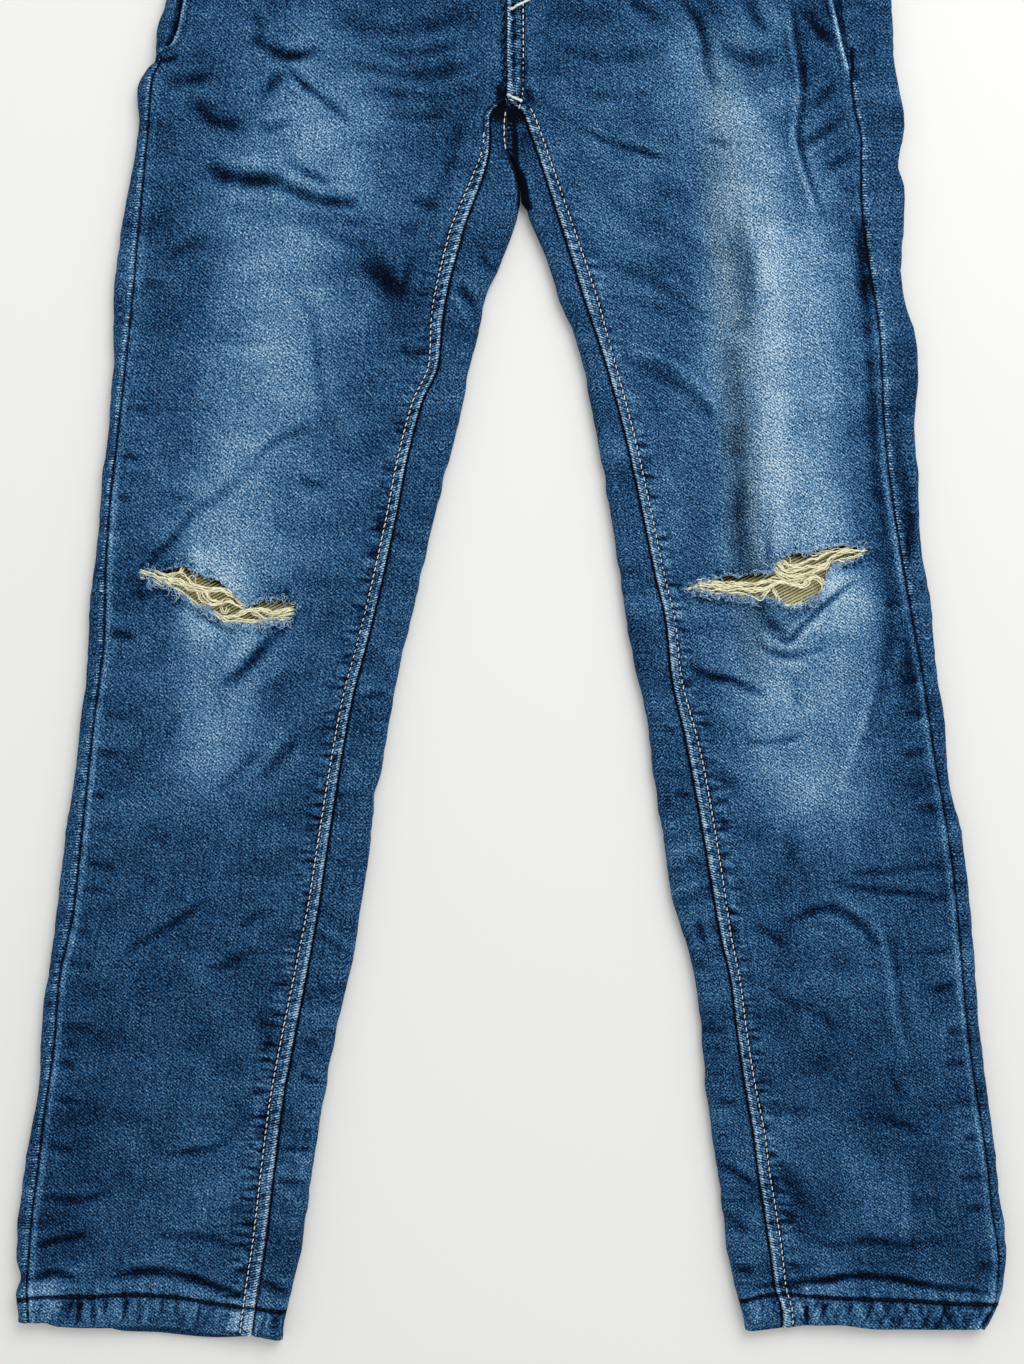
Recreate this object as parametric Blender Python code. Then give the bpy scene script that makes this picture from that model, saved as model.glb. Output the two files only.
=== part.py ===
"""Child's ripped jeans of soft denim, laid flat with the front up.

X runs across the jeans, from the wearer's right leg to the left one, +Y runs
up to the waist, +Z is up. The underside lies on z = 0 and the origin is under
the middle of the bounding box. Each leg is a flattened tube of two panels:
the front panel ends short of both folds, and the back panel wraps round them.
Sizes are in millimetres and become metres in place().
"""

import math
from collections import namedtuple

import bmesh
import bpy
from mathutils import Vector

MM = 0.001

# ---------------------------------------------------------------- sizes, mm
CLOTH = 1.3              # wall of the soft denim
SEAM_GAP = 0.3           # clearance between neighbouring pieces
FOLD_RADIUS = 3.3        # outside radius of the rolled side folds
FLAT_HEIGHT = 5.2        # top of the front panel, away from the folds
FOLD_REACH = 15.0        # how far a side fold lifts the cloth beside it
HEM_DEPTH = 13.0         # turned-up hem, where the wall is double
HEM_LIFT = 1.0           # extra height over the doubled hem
HEM_SLOPE = (-1.0, 10.0) # where that height fades out, from the hem stitching
WAIST_SEAM = 170.0       # lower edge of the waistband above the crotch
BAND_DEPTH = 30.0        # height of the waistband
BAND_WALL = 2.4          # waistband, cloth doubled
BAND_RADIUS = 3.6        # outside radius of its two end folds
BAND_TAPER = 3.0         # the band's top edge is narrower by this on each side
LAP_END = -22.0          # end of the upper lap of the waistband
LAP_SHOULDER = -10.0     # a column of the upper lap between its end and its ramp
LAP_UNDER = 0.0          # end of the lower lap
LAP_RAMP = (3.0, 15.0)   # where the upper lap comes down to the lower level
CROTCH_SLIT = -14.0      # above this the inner folds of the legs are open
TONGUE_TOP = 8.0         # top of the back panels' tongues between the fronts
POCKET_FOOT = 34.0       # lowest point of the pocket facings
FACING_TUCK = 9.0        # how far a facing reaches under the front panel
FACING_LAP = 1.2         # and under the back panel, at the side seam
FACING_DROP = 0.5        # clearance between a facing and the panels over it
BUTTON_RADIUS = 7.5
BUTTON_HEIGHT = 2.2
BUTTON_NECK_RADIUS = 3.2
BUTTON_NECK = 0.9
BUTTON_ROUND = 0.6       # rounding of its edges
BUTTON_RIM = 1.6         # width of its raised rim
BUTTON_DISH = 0.5        # depth of the dish inside the rim
BUTTON_SIDES = 20
BUTTON_X = -11.0
DENIM_ROUGHNESS = 0.9
METAL_ROUGHNESS = 0.4
RIP_CUT_HEIGHT = 12.0    # height of the prisms that cut the rips

# -------------------------------------------------------------- the cut
# A row for each cross-section, y above the crotch. outer and inner are the
# leg's two folds, side and inseam its seams on the front side, and drop is
# how much lower the inner end of the row lies. Above the crotch, inseam is the
# centre front seam and inner is the centre back seam.
Section = namedtuple("Section", "y outer side inseam inner drop")

RIGHT_LEG = [
    Section(-518, -213.5, -208.5, -113, -100.5, 7),
    Section(-495, -215.0, -209.5, -109.5, -94.5, 3),
    Section(-440, -208.5, -203.5, -102, -85, 0),
    Section(-385, -203.5, -197, -94, -75, 0),
    Section(-335, -197, -189, -83.5, -65.5, 0),
    Section(-285, -190.5, -184, -76.5, -59.5, 0),
    Section(-240, -184.5, -178.5, -67, -50, 0),
    Section(-200, -182, -176, -57, -41.5, 0),
    Section(-160, -178.5, -173, -48, -31.5, 0),
    Section(-120, -174.5, -169.5, -36.5, -21.5, 0),
    Section(-91, -173.5, -166.5, -31.5, -15.5, 0),
    Section(-65, -171, -164, -28.5, -6.5, 0),
    Section(-41, -167.5, -161.5, -21.5, 1, 0),
    Section(-25, -165, -160, -14.5, -0.5, 0),
    Section(-10, -162, -157.5, -12, -3.6, 0),
    Section(8, -162, -156, -8, -3.6, 0),
    Section(14, -160, -155, -3.6, -3.6, 0),
    Section(26, -155.5, -151.5, -3.6, -3.6, 0),
    Section(51, -150, -145, -3.6, -3.6, 0),
    Section(110, -143, -137, -3.6, -3.6, 0),
    Section(170, -134, -129, -3.6, -3.6, 0),
]

LEFT_LEG = [
    Section(-520.5, 207, 203, 115, 98, 0),
    Section(-508, 210.5, 206.5, 113, 95, 0),
    Section(-495, 211.5, 207.5, 111, 92.5, 0),
    Section(-440, 206, 201.5, 103, 84.5, 0),
    Section(-385, 200, 195, 95, 79.5, 0),
    Section(-335, 195.5, 189.5, 86, 68, 0),
    Section(-285, 187.5, 182, 77, 60, 0),
    Section(-240, 182.5, 175, 68, 53, 0),
    Section(-200, 177.5, 168.5, 61, 45.5, 0),
    Section(-160, 174, 161.5, 52, 39.5, 0),
    Section(-120, 173, 158, 42, 31.5, 0),
    Section(-91, 171.5, 156.5, 33, 24.5, 0),
    Section(-65, 166.5, 152.5, 24, 14.5, 0),
    Section(-41, 167.5, 150.5, 17.5, 5, 0),
    Section(-25, 166.5, 149.5, 13, 3, 0),
    Section(-10, 167, 148, 9, -3.6, 0),
    Section(8, 166, 145, 2, -3.6, 0),
    Section(14, 165, 144.5, -3.6, -3.6, 0),
    Section(26, 163.5, 144, -3.6, -3.6, 0),
    Section(51, 162.5, 140.5, -3.6, -3.6, 0),
    Section(110, 154, 140, -3.6, -3.6, 0),
    Section(170, 143, 138, -3.6, -3.6, 0),
]

# The slant mouth of a pocket is the front panel's edge from the side seam up.
Mouth = namedtuple("Mouth", "y right left")
POCKET_MOUTH = [
    Mouth(26, -151.5, 144),
    Mouth(34, -147.2, 140.5),
    Mouth(51, -142.8, 137),
    Mouth(110, -127, 123),
    Mouth(170, -107, 105),
]

# The largest folds, each along a straight run. A height below zero is a
# trough and one above zero is a ridge.
Fold = namedtuple("Fold", "x0 y0 x1 y1 width height")
FOLDS = [
    Fold(-148, 16, -124, -2, 7, -1.6),
    Fold(-108, 31, -80, 26, 6, -1.4),
    Fold(-130, -21, -70, -38, 8, -2.0),
    Fold(-122, -40, -60, -52, 11, 1.0),
    Fold(-61, -67, -45, -71, 8, -1.6),
    Fold(-103, -140, -119, -190, 10, 0.8),
    Fold(-142, -345, -112, -360, 8, -1.2),
    Fold(-204, -465, -128, -482, 7, -1.2),
    Fold(28, -7, 54, -17, 7, -1.6),
    Fold(120, 46, 128, -40, 8, 1.2),
    Fold(146, -40, 158, -160, 8, -1.6),
    Fold(97, -60, 96, -160, 10, -0.9),
    Fold(102, -211, 118, -224, 7, -1.4),
    Fold(118, -224, 138, -209, 7, -1.4),
    Fold(118, -250, 150, -285, 10, 0.9),
    Fold(114, -346, 156, -356, 8, -1.3),
    Fold(126, -472, 165, -485, 8, -1.1),
]

# The knee rips: a row for each station along a rip, with its two lips.
Lips = namedtuple("Lips", "x upper lower")
RIGHT_RIP = [
    Lips(-161, -193.5, -197),
    Lips(-144, -192, -205),
    Lips(-126, -200, -215.5),
    Lips(-115, -208.5, -218.5),
    Lips(-105, -206, -217),
    Lips(-93, -208, -214),
]
LEFT_RIP = [
    Lips(75, -201, -203.5),
    Lips(90, -196.5, -206),
    Lips(109, -196, -207),
    Lips(117, -187.5, -209),
    Lips(134, -184.5, -200),
    Lips(151, -183, -188.5),
]

# Rows of the panels' meshes: close together at the hems and at the crotch.
LEG_ROWS = [-508, -496] + [-473 + 24 * step for step in range(18)]
CROTCH_ROWS = [-46, -33, -22, -14, -4, 3, 8, 14, 20, 26, 34, 51, 80, 110, 140]
FACING_ROWS = [POCKET_FOOT, 42, 51, 80, 110, 140]
ROW_SLACK = 1.0          # rows lie further apart than this

STRIP_STEPS = 2          # columns on each strip beside a seam
ARC_STEPS = 4            # columns round each fold
BASE_STEPS = 6           # columns along the underside
FRONT_STEPS = 11         # columns across a front panel
FACING_STEPS = 4         # columns across a pocket facing
BAND_FRONT_STEPS = 5     # columns on each front half of the waistband
BAND_BACK_STEPS = 8      # columns along its back


# ------------------------------------------------------------- geometry
def slope_between(left, right):
    """Slope of the curve at a row, from the slopes on its two sides."""
    if left * right <= 0:
        return 0.0
    return 2 * left * right / (left + right)


def read_row(table, y):
    """Values of a table's columns at y, on a smooth curve through its rows.

    The curve never swings past a row's own value between two rows.
    """
    rows = sorted(table)
    last = len(rows) - 2
    low = 0
    while low < last and rows[low + 1].y < y:
        low += 1
    before = rows[max(low - 1, 0)]
    start = rows[low]
    end = rows[low + 1]
    after = rows[min(low + 2, last + 1)]
    span = end.y - start.y
    t = min(max((y - start.y) / span, 0.0), 1.0)
    values = []
    for a, b, c, d in zip(before[1:], start[1:], end[1:], after[1:]):
        slope = (c - b) / span
        slope_before = (b - a) / (start.y - before.y) if low > 0 else slope
        slope_after = (d - c) / (after.y - end.y) if low < last else slope
        leave = slope_between(slope_before, slope) * span
        arrive = slope_between(slope, slope_after) * span
        blend = 3 * t * t - 2 * t ** 3
        values.append(b + (c - b) * blend + leave * (t ** 3 - 2 * t * t + t) + arrive * (t ** 3 - t * t))
    return type(start)(y, *values)


def smooth_step(low, high, value):
    t = min(max((value - low) / (high - low), 0.0), 1.0)
    return t * t * (3 - 2 * t)


def fold_offset(x, y):
    """Height that the largest folds add at a point of the upper layer."""
    total = 0.0
    for fold in FOLDS:
        start = Vector((fold.x0, fold.y0))
        run = Vector((fold.x1, fold.y1)) - start
        point = Vector((x, y))
        along = min(max((point - start).dot(run) / run.length_squared, 0.0), 1.0)
        distance = (point - start - run * along).length
        total += fold.height * math.exp(-(distance / fold.width) ** 2)
    return total


def hem_share(leg, y):
    """1 on the doubled hem of a leg, 0 above it."""
    hem_line = leg[0].y + HEM_DEPTH
    return 1.0 - smooth_step(hem_line + HEM_SLOPE[0], hem_line + HEM_SLOPE[1], y)


def edge_share(distance):
    """1 on the roll of a side fold, 0 where the cloth lies flat again."""
    return 1.0 - smooth_step(FOLD_RADIUS, FOLD_REACH, abs(distance))


def top_height(leg, x, y):
    """Height of the outside of the upper layer of a leg."""
    row = read_row(leg, y)
    edge = edge_share(x - row.outer)
    if y < CROTCH_SLIT:
        edge = max(edge, edge_share(x - row.inner))
    height = FLAT_HEIGHT + HEM_LIFT * hem_share(leg, y) + (1.0 - edge) * fold_offset(x, y)
    height = max(height, 2 * CLOTH + SEAM_GAP)
    return height + (2 * FOLD_RADIUS - height) * edge


def dropped(row, x):
    """Y of a point in a row whose inner end lies lower than its outer end."""
    return row.y - row.drop * (x - row.outer) / (row.inner - row.outer)


def rows_of(leg):
    return [leg[0].y] + LEG_ROWS + CROTCH_ROWS + [WAIST_SEAM - SEAM_GAP]


def shares(steps):
    return [step / steps for step in range(1, steps + 1)]


def back_profile(leg, y):
    """Outside of the back panel at one row: (x, z) from side seam to inseam."""
    row = read_row(leg, y)
    across = math.copysign(1.0, row.inner - row.outer)
    half_gap = across * SEAM_GAP / 2
    turn = across * FOLD_RADIUS
    inner_turn = turn if y < CROTCH_SLIT else 0.0
    inner_end = row.inner if y < CROTCH_SLIT else row.inner - half_gap
    seam = row.side - half_gap
    points = [(seam, top_height(leg, seam, y))]
    for t in shares(STRIP_STEPS):
        x = seam + (row.outer + turn - seam) * t
        points.append((x, top_height(leg, x, y)))
    for t in shares(ARC_STEPS):
        angle = math.pi * t
        x = row.outer + turn * (1 - math.sin(angle))
        points.append((x, FOLD_RADIUS * (1 + math.cos(angle))))
    base_start = row.outer + turn
    base_end = inner_end - inner_turn
    for t in shares(BASE_STEPS):
        points.append((base_start + (base_end - base_start) * t, 0.0))
    for t in shares(ARC_STEPS):
        angle = math.pi * t
        points.append((base_end + inner_turn * math.sin(angle), FOLD_RADIUS * (1 - math.cos(angle))))
    seam = row.inseam + half_gap
    strip_start = base_end
    for t in [0.0] + shares(STRIP_STEPS):
        x = strip_start + (seam - strip_start) * t
        points.append((x, top_height(leg, x, y)))
    return points[:-STRIP_STEPS - 2] + points[-STRIP_STEPS - 1:]


def front_edge(leg, y):
    """Outer edge of a front panel: the side seam, then the pocket mouth."""
    row = read_row(leg, y)
    if y <= POCKET_MOUTH[0].y:
        return row.side
    mouth = read_row(POCKET_MOUTH, y)
    return mouth.right if leg is RIGHT_LEG else mouth.left


def front_profile(leg, y):
    """Outside of the front panel at one row, from outer to inner edge."""
    row = read_row(leg, y)
    across = math.copysign(1.0, row.inseam - row.side)
    start = front_edge(leg, y) + across * SEAM_GAP / 2
    end = row.inseam - across * SEAM_GAP / 2
    points = []
    for t in [0.0] + shares(FRONT_STEPS):
        x = start + (end - start) * t
        points.append((x, top_height(leg, x, y)))
    return points


def facing_profile(leg, y):
    """Outside of a pocket facing at one row, from under the front to the seam.

    It lies just below the front panel and, at the side seam, the back panel.
    """
    row = read_row(leg, y)
    across = math.copysign(1.0, row.inseam - row.side)
    tuck = front_edge(leg, y) + across * FACING_TUCK
    seam = row.side - across * FACING_LAP
    points = []
    for t in [0.0] + shares(FACING_STEPS):
        x = tuck + (seam - tuck) * t
        points.append((x, top_height(leg, x, y) - CLOTH - FACING_DROP))
    return points


def band_profile(taper):
    """Outside of the waistband at one level, from its upper lap round to the lower."""
    right = RIGHT_LEG[-1].outer + taper
    left = LEFT_LEG[-1].outer - taper
    top = 2 * BAND_RADIUS
    points = []
    for x in [LAP_END, LAP_SHOULDER, LAP_RAMP[0], sum(LAP_RAMP) / 2, LAP_RAMP[1]]:
        lift = (BAND_WALL + SEAM_GAP) * (1.0 - smooth_step(LAP_RAMP[0], LAP_RAMP[1], x))
        points.append((x, top + lift))
    for t in shares(BAND_FRONT_STEPS):
        points.append((LAP_RAMP[1] + (left - BAND_RADIUS - LAP_RAMP[1]) * t, top))
    for t in shares(ARC_STEPS):
        angle = math.pi * t
        points.append((left - BAND_RADIUS * (1 - math.sin(angle)), BAND_RADIUS * (1 + math.cos(angle))))
    for t in shares(BAND_BACK_STEPS):
        points.append((left - BAND_RADIUS + (right + 2 * BAND_RADIUS - left) * t, 0.0))
    for t in shares(ARC_STEPS):
        angle = math.pi * t
        points.append((right + BAND_RADIUS * (1 - math.sin(angle)), BAND_RADIUS * (1 - math.cos(angle))))
    for t in shares(BAND_FRONT_STEPS):
        points.append((right + BAND_RADIUS + (LAP_UNDER - right - BAND_RADIUS) * t, top))
    return points


def outline_extent():
    """Middle of the laid-out jeans in X and Y, from their outermost sizes."""
    low_x = min(read_row(RIGHT_LEG, y).outer for y in rows_of(RIGHT_LEG))
    high_x = max(read_row(LEFT_LEG, y).outer for y in rows_of(LEFT_LEG))
    low_y = min(leg[0].y - leg[0].drop for leg in (RIGHT_LEG, LEFT_LEG))
    high_y = WAIST_SEAM + BAND_DEPTH
    return (low_x + high_x) / 2, (low_y + high_y) / 2


MIDDLE_X, MIDDLE_Y = outline_extent()


def place(x, y, z):
    """A point of the cut, in metres from the origin."""
    return Vector(((x - MIDDLE_X) * MM, (y - MIDDLE_Y) * MM, z * MM))


# -------------------------------------------------------------- objects
def clear_scene():
    for old in list(bpy.data.objects):
        bpy.data.objects.remove(old, do_unlink=True)


def finish(name, colour, roughness, metallic=0.0):
    material = bpy.data.materials.new(name)
    material.use_nodes = True
    shader = material.node_tree.nodes["Principled BSDF"]
    shader.inputs["Base Color"].default_value = (*colour, 1.0)
    shader.inputs["Roughness"].default_value = roughness
    shader.inputs["Metallic"].default_value = metallic
    return material


def add_object(name, bm, material):
    mesh = bpy.data.meshes.new(name)
    bm.to_mesh(mesh)
    bm.free()
    mesh.materials.append(material)
    mesh.shade_smooth()
    mesh.set_sharp_from_angle(angle=math.radians(40))
    piece = bpy.data.objects.new(name, mesh)
    bpy.context.scene.collection.objects.link(piece)
    return piece


def panel_mesh(profiles, levels):
    """A grid whose rows follow the profiles, each at its own level in Y.

    A level is a function that gives Y for an X.
    """
    bm = bmesh.new()
    columns = len(profiles[0])
    bmesh.ops.create_grid(bm, x_segments=columns - 1, y_segments=len(profiles) - 1, size=0.5)
    for vertex in bm.verts:
        column = round((vertex.co.x + 0.5) * (columns - 1))
        line = round((vertex.co.y + 0.5) * (len(profiles) - 1))
        x, z = profiles[line][column]
        vertex.co = place(x, levels[line](x), z)
    return bm


def point_outwards(bm, up_vertex):
    """Turn the faces over if the cloth at the given vertex looks down."""
    bm.normal_update()
    bm.verts.ensure_lookup_table()
    if bm.verts[up_vertex].normal.z < 0:
        bmesh.ops.reverse_faces(bm, faces=bm.faces)


def thicken(piece, wall, doubled=None):
    """Give the skin its wall, inwards, twice as thick at the doubled vertices."""
    solid = piece.modifiers.new("Wall", "SOLIDIFY")
    solid.offset = -1.0
    solid.thickness = wall * MM
    solid.use_even_offset = True
    if doubled is None:
        return
    share = piece.vertex_groups.new(name="wall")
    share.add(range(len(piece.data.vertices)), 0.5, "REPLACE")
    share.add(doubled, 1.0, "REPLACE")
    solid.thickness = 2 * wall * MM
    solid.vertex_group = share.name


def levels_of(leg, ys):
    return [lambda x, row=read_row(leg, y): dropped(row, x) for y in ys]


def hem_vertices(piece, leg):
    """Vertices on the turned-up hem, below the line of the hem stitching."""
    line = place(0, leg[0].y + HEM_DEPTH, 0).y
    return [vertex.index for vertex in piece.data.vertices if vertex.co.y < line]


def front_panel(name, leg, rip, material):
    ys = rows_of(leg)
    bm = panel_mesh([front_profile(leg, y) for y in ys], levels_of(leg, ys))
    point_outwards(bm, FRONT_STEPS // 2)
    piece = add_object(name, bm, material)
    thicken(piece, CLOTH, hem_vertices(piece, leg))
    cut_rip(piece, rip)
    return piece


def back_panel(name, leg, material):
    ys = rows_of(leg)
    profiles = [back_profile(leg, y) for y in ys]
    bm = panel_mesh(profiles, levels_of(leg, ys))
    columns = len(profiles[0])
    point_outwards(bm, 0)
    slit_line = place(0, CROTCH_SLIT - ROW_SLACK, 0).y
    tongue_line = place(0, TONGUE_TOP - ROW_SLACK, 0).y
    fold_start = STRIP_STEPS + ARC_STEPS + BASE_STEPS
    fold_end = fold_start + ARC_STEPS
    cut_away = []
    for face in bm.faces:
        first_column = min(vertex.index % columns for vertex in face.verts)
        foot = min(vertex.co.y for vertex in face.verts)
        on_fold = fold_start <= first_column < fold_end
        on_tongue = first_column >= fold_end
        if on_fold and foot > slit_line:
            cut_away.append(face)
        if on_tongue and foot > tongue_line:
            cut_away.append(face)
    bmesh.ops.delete(bm, geom=cut_away, context="FACES")
    piece = add_object(name, bm, material)
    thicken(piece, CLOTH, hem_vertices(piece, leg))
    return piece


def pocket_facing(name, leg, material):
    ys = FACING_ROWS + [WAIST_SEAM - SEAM_GAP]
    bm = panel_mesh([facing_profile(leg, y) for y in ys], levels_of(leg, ys))
    point_outwards(bm, 0)
    piece = add_object(name, bm, material)
    thicken(piece, CLOTH)
    return piece


def waistband(material):
    ys = [WAIST_SEAM, WAIST_SEAM + BAND_DEPTH / 2, WAIST_SEAM + BAND_DEPTH]
    profiles = [band_profile(BAND_TAPER * (y - WAIST_SEAM) / BAND_DEPTH) for y in ys]
    bm = panel_mesh(profiles, [lambda x, y=y: y for y in ys])
    point_outwards(bm, 0)
    piece = add_object("waistband", bm, material)
    thicken(piece, BAND_WALL)
    return piece


def waist_button(material):
    """A shank button, turned from its profile."""
    bm = bmesh.new()
    flat_radius = BUTTON_RADIUS - BUTTON_ROUND
    dish_radius = BUTTON_RADIUS - BUTTON_RIM
    top = BUTTON_NECK + BUTTON_HEIGHT
    profile = [
        (0.0, 0.0),
        (BUTTON_NECK_RADIUS, 0.0),
        (BUTTON_NECK_RADIUS, BUTTON_NECK),
        (flat_radius, BUTTON_NECK),
        (BUTTON_RADIUS, BUTTON_NECK + BUTTON_ROUND),
        (BUTTON_RADIUS, top - BUTTON_ROUND),
        (flat_radius, top),
        (dish_radius, top),
        (dish_radius - BUTTON_DISH, top - BUTTON_DISH),
        (0.0, top - BUTTON_DISH),
    ]
    chain = [bm.verts.new((radius * MM, 0.0, height * MM)) for radius, height in profile]
    edges = [bm.edges.new(pair) for pair in zip(chain, chain[1:])]
    bmesh.ops.spin(
        bm, geom=chain + edges, cent=(0, 0, 0), axis=(0, 0, 1), angle=2 * math.pi,
        steps=BUTTON_SIDES, use_merge=True,
    )
    bmesh.ops.remove_doubles(bm, verts=bm.verts, dist=0.00001)
    bmesh.ops.recalc_face_normals(bm, faces=bm.faces)
    button = add_object("waist_button", bm, material)
    upper_lap = 2 * BAND_RADIUS + BAND_WALL + SEAM_GAP
    button.location = place(BUTTON_X, WAIST_SEAM + BAND_DEPTH / 2, upper_lap + SEAM_GAP)
    return button


def cut_rip(piece, rip):
    """Cut the knee rip through a front panel with a prism of its outline."""
    bm = bmesh.new()
    outline = [(lips.x, lips.upper) for lips in rip] + [(lips.x, lips.lower) for lips in reversed(rip)]
    corners = [bm.verts.new(place(x, y, CLOTH + SEAM_GAP / 2)) for x, y in outline]
    bottom = bm.faces.new(corners)
    grown = bmesh.ops.extrude_face_region(bm, geom=[bottom])["geom"]
    lifted = [item for item in grown if isinstance(item, bmesh.types.BMVert)]
    bmesh.ops.translate(bm, verts=lifted, vec=Vector((0, 0, RIP_CUT_HEIGHT * MM)))
    bmesh.ops.recalc_face_normals(bm, faces=bm.faces)
    cutter = add_object(piece.name + "_rip_cutter", bm, piece.data.materials[0])
    cutter.hide_render = True
    cutter.display_type = "WIRE"
    cut = piece.modifiers.new("Rip", "BOOLEAN")
    cut.operation = "DIFFERENCE"
    cut.solver = "EXACT"
    cut.object = cutter


# ------------------------------------------------------------------ build
def main():
    clear_scene()
    faded = finish("faded_denim", (0.085, 0.165, 0.275), DENIM_ROUGHNESS)
    faded_left = finish("faded_denim_left", (0.085, 0.165, 0.275), DENIM_ROUGHNESS)
    dark = finish("dark_denim", (0.030, 0.082, 0.160), DENIM_ROUGHNESS)
    dark_left = finish("dark_denim_left", (0.030, 0.082, 0.160), DENIM_ROUGHNESS)
    facing = finish("facing_denim", (0.026, 0.070, 0.140), DENIM_ROUGHNESS)
    facing_left = finish("facing_denim_left", (0.026, 0.070, 0.140), DENIM_ROUGHNESS)
    band = finish("waistband_denim", (0.034, 0.090, 0.170), DENIM_ROUGHNESS)
    metal = finish("button_metal", (0.48, 0.46, 0.42), METAL_ROUGHNESS, 1.0)
    front_panel("front_right", RIGHT_LEG, RIGHT_RIP, faded)
    front_panel("front_left", LEFT_LEG, LEFT_RIP, faded_left)
    back_panel("back_right", RIGHT_LEG, dark)
    back_panel("back_left", LEFT_LEG, dark_left)
    pocket_facing("pocket_facing_right", RIGHT_LEG, facing)
    pocket_facing("pocket_facing_left", LEFT_LEG, facing_left)
    waistband(band)
    waist_button(metal)


main()
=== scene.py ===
# %% [markdown]
# # Ripped jeans of soft denim, laid flat with the front up
#
# The jeans lie on a table, front side up. Each leg is a flattened tube of two
# panels: the front panel stops short of both folds, and the back panel wraps
# round them, so it shows as a dark strip beside both seams.
#
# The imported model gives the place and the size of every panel. Each panel is
# made again here as a fine grid of the same form, because creases, puckers and
# stitched grooves need points close together.

# %% Load the frame
import math
from collections import namedtuple

import bmesh
import bpy
import numpy as np
from mathutils import Matrix, Vector


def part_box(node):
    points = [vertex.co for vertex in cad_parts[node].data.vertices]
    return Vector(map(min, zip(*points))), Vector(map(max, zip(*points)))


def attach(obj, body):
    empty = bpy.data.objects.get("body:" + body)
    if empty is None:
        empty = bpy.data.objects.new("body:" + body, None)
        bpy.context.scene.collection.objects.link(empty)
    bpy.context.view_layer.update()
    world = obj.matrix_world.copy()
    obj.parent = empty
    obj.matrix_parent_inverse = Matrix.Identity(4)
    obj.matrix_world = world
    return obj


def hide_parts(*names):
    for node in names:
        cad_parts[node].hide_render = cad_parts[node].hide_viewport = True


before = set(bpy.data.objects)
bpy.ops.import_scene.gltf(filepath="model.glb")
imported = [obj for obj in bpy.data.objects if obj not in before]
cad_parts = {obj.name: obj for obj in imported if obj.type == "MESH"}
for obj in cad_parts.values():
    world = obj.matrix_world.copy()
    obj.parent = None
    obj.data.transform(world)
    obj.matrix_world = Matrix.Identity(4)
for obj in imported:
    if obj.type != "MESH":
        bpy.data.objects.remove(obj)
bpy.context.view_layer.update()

# %% [markdown]
# ## Sizes and the cut
#
# A maker measures trousers from the crotch: x across, y up to the waist. All
# sizes below are in millimetres from there, and `place` turns them into metres
# in the frame of the model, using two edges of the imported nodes.

# %% Sizes of the cloth, mm
MM = 0.001
CLOTH = 1.2            # thickness of the soft denim
SEAM_GAP = 0.3         # between neighbouring panels
SEAM_SHUT = 0.1        # the same where a seam is pulled shut
FOLD_RADIUS = 3.3      # outside radius of the rolled side folds
FLAT_HEIGHT = 5.2      # top of the upper layer away from the folds
FOLD_REACH = 15.0      # how far a fold lifts the cloth beside it
HEM_DEPTH = 13.0       # turned-up hem
HEM_LIFT = 1.0         # extra height over the doubled hem
LOWEST_TOP = 3.3       # the upper layer never sinks below this
WAIST_SEAM = 170.0
BAND_DEPTH = 30.0
FLY_EDGE = -3.6        # centre front seam
CROTCH_SLIT = -14.0    # above this the legs have no inner fold
TONGUE_TOP = 9.0       # top of the back panels' tongues between the fronts
INSEAM_TOP = 9.5       # where the inseams meet the fly edge
HEM_LEVEL = -520.0     # mean level of the bottom edge

left_low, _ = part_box("front_left")
_, band_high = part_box("waistband")
MIDDLE_X = FLY_EDGE + SEAM_GAP / 2 - left_low.x / MM
MIDDLE_Y = WAIST_SEAM + BAND_DEPTH - band_high.y / MM


def place(x, y, z):
    """Points of the cut in mm, as an array of points in metres."""
    x, y, z = np.broadcast_arrays(x, y, z)
    return np.stack([(x - MIDDLE_X) * MM, (y - MIDDLE_Y) * MM, z * MM], axis=-1)


print("middle of the layout, mm:", round(MIDDLE_X, 2), round(MIDDLE_Y, 2))

# %% [markdown]
# ## Lines of the cut
#
# Each line is a short table of measured points, from the hem up. A smooth curve
# runs through them and never swings past a point, which keeps neighbouring
# panels from crossing.

# %% Lines along the legs, (y, x) in mm
RIGHT_OUTER = [
    (-525, -213.5), (-517, -213.8), (-508, -215), (-500, -213.2), (-491, -215),
    (-465, -213), (-439, -209), (-414, -205), (-388, -204), (-362, -200), (-336, -197),
    (-310, -194), (-285, -190), (-259, -187), (-233, -184), (-207, -183), (-181, -180),
    (-156, -178), (-130, -175), (-104, -173), (-78, -173), (-52, -170), (-27, -166),
    (-1, -162), (12, -163), (22, -158), (25, -155), (38, -154), (51, -150), (110, -143),
    (170, -134),
]
RIGHT_SIDE = [
    (-525, -208.5), (-500, -209.6), (-490, -209), (-471, -207.5), (-456, -205.5),
    (-427, -202), (-398, -198), (-372, -196), (-342, -190), (-307, -186), (-260, -181),
    (-223, -176.6), (-198, -176), (-166, -174), (-139, -171), (-94, -166), (-73, -164),
    (-50, -162), (-25, -159.5), (-2, -157.5), (16, -156), (25, -152), (51, -145),
    (110, -137), (170, -129),
]
RIGHT_INSEAM = [
    (-523, -113), (-504, -110.5), (-481, -107), (-456, -104), (-424, -100), (-396, -95),
    (-365, -89), (-336, -84), (-322, -82), (-283, -76), (-250, -70), (-223, -63),
    (-198, -57), (-170, -51), (-149, -47), (-122, -40), (-106, -33), (-85, -31),
    (-51, -23), (-9.5, -11), (1, -11), (4, -9.2), (7, -6.2), (INSEAM_TOP, FLY_EDGE), (170, FLY_EDGE),
]
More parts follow.
